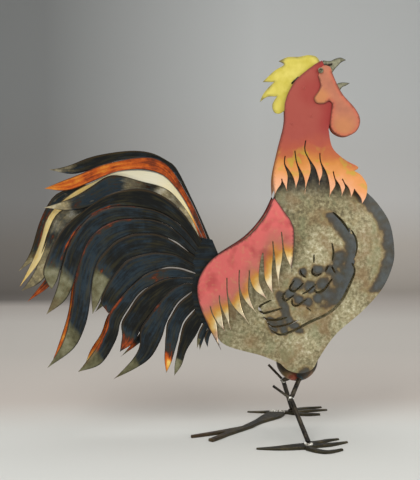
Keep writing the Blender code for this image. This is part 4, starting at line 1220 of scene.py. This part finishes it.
def weld_bead(name, path, radius, mat, pitch=2.4):
    """A run of weld: a low ridge with one overlapping scale every few millimetres."""
    line = np.array([tuple(p) for p in path], float)
    length = np.concatenate([[0], np.cumsum(np.linalg.norm(np.diff(line, axis=0), axis=1))])
    count = max(8, int(length[-1] / pitch * 6))
    want = np.linspace(0, length[-1], count + 1)
    line = np.stack([np.interp(want, length, line[:, i]) for i in range(3)], axis=1)
    verts = []
    for i, p in enumerate(line):
        ahead = Vector(line[min(i + 1, count)] - line[max(i - 1, 0)]).normalized()
        scale = (want[i] / pitch) % 1.0
        end = min(1.0, want[i] / radius + 0.05, (length[-1] - want[i]) / radius + 0.05)
        r = radius * (0.78 + 0.26 * scale ** 0.7) * math.sqrt(end)
        verts += circle(Vector(p), ahead, r, full_turn(BEAD_SIDES))
    faces = [tuple(range(BEAD_SIDES)), tuple(range(len(verts) - BEAD_SIDES, len(verts)))]
    faces += tube(count + 1, BEAD_SIDES)
    shape(name, verts, faces, mat, sharp=50)


def ring_path(middle, normal, radius):
    """The line of a weld that runs once round a bar."""
    turn = np.radians(np.linspace(0.0, 360.0, 40))
    return circle(Vector(middle), Vector(normal).normalized(), radius, turn)


# Hot-rolled bar with its mill scale, heated at the welds: brown-black, half matt
bar_steel, tree, shader, _, fine, cloud = finish(
    "mill_scale_round_bar", (0.004, 4.0), (0.016, 3.0))
tone = add(tree, "ValToRGB", 0, {"Fac": cloud}, stops=[
    (0.36, "#1E1B18"), (0.48, "#302B24"), (0.58, "#453C2E"), (0.68, "#565044")])
tone = patches(tree, tone, fine, (0.56, 0.7), 0.4, "#7A766A")
coat(tree, shader, tone, 0.7, fine, (0.36, 0.6), fine, 0.0003)

# Weld metal, brushed clean: bright grey, mottled with brown, its near-white specks partly a
# painted highlight
bright_weld_and_highlight, tree, shader, _, fine = finish("bright_weld_with_painted_highlight", (0.003, 3.0))
tone = add(tree, "ValToRGB", 0, {"Fac": fine}, stops=[
    (0.34, "#4A4238"), (0.44, "#A09A8C"), (0.52, "#D8D4C8"), (0.64, "#FBF9F2")])
coat(tree, shader, tone, 0.4, fine, (0.5, 0.28), fine, 0.0003)

# Weld metal left as it cooled: dark brown, nearly black
scaled_weld, tree, shader, _, fine = finish("scaled_weld_metal", (0.003, 3.0))
tone = add(tree, "ValToRGB", 0, {"Fac": fine}, stops=[
    (0.36, "#191510"), (0.5, "#352C20"), (0.62, "#5C5444"), (0.74, "#8E8A7C")])
coat(tree, shader, tone, 0.6, fine, (0.48, 0.48), fine, 0.0003)


def cut_back(radius, one, two):
    """How far from their meeting point two bars end so that they stay apart."""
    return radius / math.tan(one.angle(two) / 2) + GAP / 2


for word, leg in LEGS.items():
    radius = LEG_BAR / 2
    x, y = leg["hip"]
    knee = Vector(leg["knee"])
    u, v = (x - HIP_X) / BOWL_RADIUS, y / BOWL_DEPTH
    w = math.sqrt(1 - u * u - v * v)
    seat = Vector((x, y, BOWL_RIM_Z - BOWL_DROP * w))
    normal = Vector((u / BOWL_RADIUS, v / BOWL_DEPTH, -w / BOWL_DROP)).normalized()
    hip = seat + normal * (GAP * 2 + radius * math.sin((knee - seat).angle(normal)))
    ankle = Vector((*leg["ankle"], FOOT_PLATE + GAP * 2 + radius))
    down = (ankle - knee).normalized()
    up = (hip - knee).normalized()
    back_way = (Vector(leg["spur"]) - knee).normalized()
    clear = cut_back(radius, up, down)
    ankle.z = FOOT_PLATE + GAP * 2 + radius * math.sin(down.angle(Vector((0, 0, -1))))
    rod(f"thigh_bar_{word}", hip, knee + up * clear, LEG_BAR, f"thigh_{word}")
    rod(f"shank_bar_{word}", knee + down * clear, ankle, LEG_BAR, f"shank_{word}")
    start = max(cut_back(radius, back_way, up), cut_back(radius, back_way, down))
    rod(f"spur_bar_{word}", knee + back_way * start, leg["spur"], SPUR_BAR, f"spur_{word}")
    bend_axis = (up - down).normalized()
    weld_bead(f"knee_weld_{word}", ring_path(knee, bend_axis, radius * 0.82), 2.3,
              bright_weld_and_highlight)
    weld_bead(f"knee_root_{word}", [knee - back_way * 2, knee + back_way * (start + 1)],
              radius * 0.75, scaled_weld)
    weld_bead(f"hip_weld_{word}", ring_path(seat + normal * 1.2, normal, radius * 0.95),
              1.7, scaled_weld)
    foot_top = Vector((ankle.x, ankle.y, FOOT_PLATE + 0.6))
    weld_bead(f"ankle_weld_{word}", ring_path(foot_top, (0, 0, 1), radius * 1.2), 3.0,
              bright_weld_and_highlight if word == "near" else scaled_weld)

# Feet and stay
# Three flat pieces flame-cut from 5 mm plate: a four-toed foot under each leg, and
# a long forked stay welded beside the far foot's back toe to hold the bird upright.

TOE_ROOT = 5.8
TOE_CLAW = 1.8
NEAR_HEEL = 11.0
STAY_HALF = 5.8
STAY_TIP = 2.2
STAY_BLUNT = 4.8


def limb(points, root, tip):
    """Both edges of a tapered flat toe, from the palm out to the claw and back."""
    left, right = strip(points, 8, lambda share: root + (tip - root) * share ** 1.6)
    return right + left[::-1]


def beside_toe(palm, claw, distance):
    """A point at a distance along a straight toe, a gap away from its near edge."""
    start = Vector(palm)
    along = (Vector(claw) - start).normalized()
    side = Vector((-along.y, along.x))
    return tuple(start + along * distance + side * (TOE_ROOT + GAP))


near_foot = limb([(156, -116), (118, -122), (78, -121)], NEAR_HEEL, TOE_CLAW)
for line in ([(161, -127), (176, -143), (192, -147), (216, -134)],
             [(176, -113), (201, -108), (233, -91)],
             [(166, -102), (186, -95), (200, -84), (222, -73)]):
    near_foot += limb(line, TOE_ROOT, TOE_CLAW)
back_palm, back_claw = (160, 105), (85, 117)
far_foot = []
for line in ([back_palm, back_claw],
             [(173, 97), (192, 88), (220, 89)],
             [(180, 108), (205, 116), (240, 125)],
             [(170, 117), (198, 133), (233, 147)]):
    far_foot += limb(line, TOE_ROOT, TOE_CLAW)
stay = smooth([(84, 5), (106, 36), (140, 68), (153, 90)])
stay += [beside_toe(back_palm, back_claw, along) for along in (5, 34)]
stay += smooth([(119, 97), (104, 70), (89, 41), (64, 4)])
for line, tip in (([(31, -23), (6, -36), (-26, -51)], STAY_TIP),
                  ([(34, -40), (21, -57), (6, -75)], STAY_BLUNT)):
    stay += limb(line, STAY_HALF, tip)


def floor_plate(x, y):
    centre = np.stack([x, y, FOOT_PLATE / 2 + 0 * x], axis=1)
    return centre, np.broadcast_to((0.0, 0.0, 1.0), centre.shape)


# Plate with its scale worn to olive brown, redder towards the tail and a little
# paler along the cut edge. Half matt.
foot_steel, tree, shader, place, fine, cloud = finish(
    "worn_scale_on_plate", (0.004, 4.0), (0.020, 4.0))
tone = add(tree, "ValToRGB", 0, {"Fac": cloud}, stops=[
    (0.34, "#14120E"), (0.46, "#221F17"), (0.58, "#352E20"), (0.70, "#54482E")])
ahead = add(tree, "SeparateXYZ", 0, {0: place})
tone = patches(tree, tone, ahead, (0.06, -0.03), 0.5, "#5C3422")
tone = patches(tree, tone, fine, (0.58, 0.74), 0.5, "#8A7448")
tone = tinge(tree, tone, "rim", 0.4, "#4E4832")
coat(tree, shader, tone, 0.6, fine, (0.36, 0.58), fine, 0.0003)

# The claws are drawn down thinner, by their distance from the ankle. The stay is flat.
for name, outline, node, ankle in (("near_cut_foot", near_foot, "foot_near", (166, -116)),
                                   ("far_cut_foot", far_foot, "foot_far", (172, 106)),
                                   ("forked_stay", stay, "stay_foot", None)):
    plate = sheet(name, [outline], FOOT_PLATE, floor_plate,
                  {"rim": beside([outline], 0.2, 1.4)}, cell=3.0, chamfer=0.9)
    if ankle:
        for vert in plate.data.vertices:
            x, y, _ = (np.array(vert.co) - SHIFT) / MM
            away = math.hypot(x - ankle[0], y - ankle[1])
            vert.co.z *= 1 - 0.45 * float(ease(away, 26, 84))
    plate.data.materials.append(foot_steel)
    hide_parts(node)
seam = [(*beside_toe(back_palm, back_claw, along), FOOT_PLATE + 0.2)
        for along in np.linspace(4, 34, 8)]
weld_bead("stay_weld", seam, 3.0, bright_weld_and_highlight, pitch=3.4)

# Head welds and eyes
# Short runs of weld hold the beak and the comb, and a ring of wire with a domed
# steel slug in it makes each eye.

EYE_RING = 3.6
EYE_WIRE = 1.2
EYE_SIDES = 36
EYE_AT = (200, 630)

weld_bead("beak_root_weld", [(204, 0, 643), (208, -2.6, 641), (213, -3.0, 641),
                             (219, -2.6, 642), (222, 0, 644)], 2.0, scaled_weld,
          pitch=2.2)
weld_bead("jaw_root_weld", [(226, -1.5, 608), (229, -1.8, 602), (232, -1.5, 597)], 1.7,
          scaled_weld)
weld_bead("comb_tack", [(150, -2.0, 608), (156, -3.0, 614), (163, -2.6, 620)], 1.5,
          scaled_weld)
for word, side in (("near", -1), ("far", 1)):
    middle, normal = upright(face_bend, side)(np.array([EYE_AT[0]]), np.array([EYE_AT[1]]))
    face = middle[0] + normal[0] * (TRIM_SHEET / 2 + GAP)
    out = Vector(normal[0])
    verts = []
    rings = [(0.0, 1.7), (0.7, 1.6), (1.4, 1.2), (2.0, 0.7), (2.3, 0.4)]
    rings += [(EYE_RING + EYE_WIRE * math.cos(a), EYE_WIRE + EYE_WIRE * math.sin(a))
              for a in np.radians(np.linspace(200, -90, 14))]
    rings += [(2.0, 0.0), (0.0, 0.0)]
    for r, h in rings:
        verts += circle(Vector(face) + out * h, out, r, full_turn(EYE_SIDES))
    eye = shape(f"eye_ring_and_slug_{word}", verts, tube(len(rings), EYE_SIDES), beak_steel)
    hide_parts(f"eye_{word}")

# Stage
# A pale floor that sweeps up into a grey wall, three soft boxes and a camera at
# the height of the bird's breast.

FLOOR_FRONT, TURN_START, TURN_RADIUS = -6.0, 2.3, 0.7
WALL_TOP, SWEEP_SIDE = 6.0, 9.0

sweep = bmesh.new()
rows = [(FLOOR_FRONT, 0.0), (TURN_START, 0.0)]
rows += [(TURN_START + TURN_RADIUS * math.sin(a), TURN_RADIUS - TURN_RADIUS * math.cos(a))
         for a in np.linspace(0.1, math.pi / 2, 16)]
rows += [(TURN_START + TURN_RADIUS, WALL_TOP)]
previous = None
for y, z in rows:
    pair = [sweep.verts.new((x, y, z)) for x in (-SWEEP_SIDE, SWEEP_SIDE)]
    if previous:
        sweep.faces.new((previous[0], previous[1], pair[1], pair[0]))
    previous = pair
mesh = bpy.data.meshes.new("studio_sweep")
sweep.to_mesh(mesh)
sweep.free()
mesh.shade_smooth()
floor = bpy.data.objects.new("studio_sweep", mesh)
bpy.context.scene.collection.objects.link(floor)
# Matt background paper with its light and shade painted on: paler at the front of the floor,
# darker in the cove where it turns up into the wall, lighter up the wall, and the wall in
# painted shade towards its left end
paper, tree, shader, place = finish("grey_paper_sweep")
sideways, away, high = (add(tree, "SeparateXYZ", axis, {0: place}) for axis in range(3))
path = add(tree, "Math", 0, {0: away, 1: high}, operation="ADD")
path = add(tree, "MapRange", 0, {"Value": path, 1: -0.6, 2: 4.4})
tone = add(tree, "ValToRGB", 0, {"Fac": path}, stops=[
    (0.0, "#CECFCA"), (0.12, "#CAC9C3"), (0.165, "#C2B9B0"), (0.28, "#BEB8B0"),
    (0.40, "#C8C2BA"), (0.506, "#C0B7AF"), (0.60, "#B2A99F"), (0.72, "#C8C0B6"),
    (0.80, "#D8D6D2"), (0.92, "#DADCDA")])
left = add(tree, "MapRange", 0, {"Value": sideways, 1: -0.75, 2: 0.4, 3: 0.42, 4: 1.0})
darker = add(tree, "Mix", 2, {0: left, 6: "#000000", 7: tone}, data_type="RGBA")
tone = patches(tree, tone, path, (0.49, 0.54), 1.0, darker)
feed(tree, shader, {"Base Color": tone, "Roughness": 0.9, "Specular IOR Level": 0.2})
floor.data.materials.append(paper)


def soft_box(name, place, target, size, power):
    """A square area light that faces its target."""
    lamp = bpy.data.lights.new(name, "AREA")
    lamp.shape = "SQUARE"
    lamp.size = size
    lamp.energy = power
    box = bpy.data.objects.new(name, lamp)
    box.location = place
    box.rotation_euler = (Vector(target) - Vector(place)).to_track_quat("-Z", "Y").to_euler()
    bpy.context.scene.collection.objects.link(box)


soft_box("key_box", (-0.9, -1.6, 2.0), (0.0, 0.0, 0.35), 1.4, 34)
soft_box("fill_box", (1.8, -1.4, 1.2), (0.0, 0.0, 0.3), 1.6, 20)
soft_box("top_box", (0.2, 0.4, 2.4), (0.0, 0.0, 0.2), 1.8, 22)

world = bpy.data.worlds.new("studio_air")
world.use_nodes = True
world.node_tree.nodes["Background"].inputs["Color"].default_value = colour("#D8DADC")
world.node_tree.nodes["Background"].inputs["Strength"].default_value = 0.55
bpy.context.scene.world = world
bpy.context.scene.view_settings.view_transform = "Standard"

lens = bpy.data.cameras.new("camera")
lens.lens = 60.1
lens.sensor_width = 36.0
camera = bpy.data.objects.new("camera", lens)
camera.location = (-0.049, -1.400, 0.387)
camera.rotation_euler = (math.radians(90 - 2.11), 0.0, math.radians(-2.49))
bpy.context.scene.collection.objects.link(camera)
bpy.context.scene.camera = camera
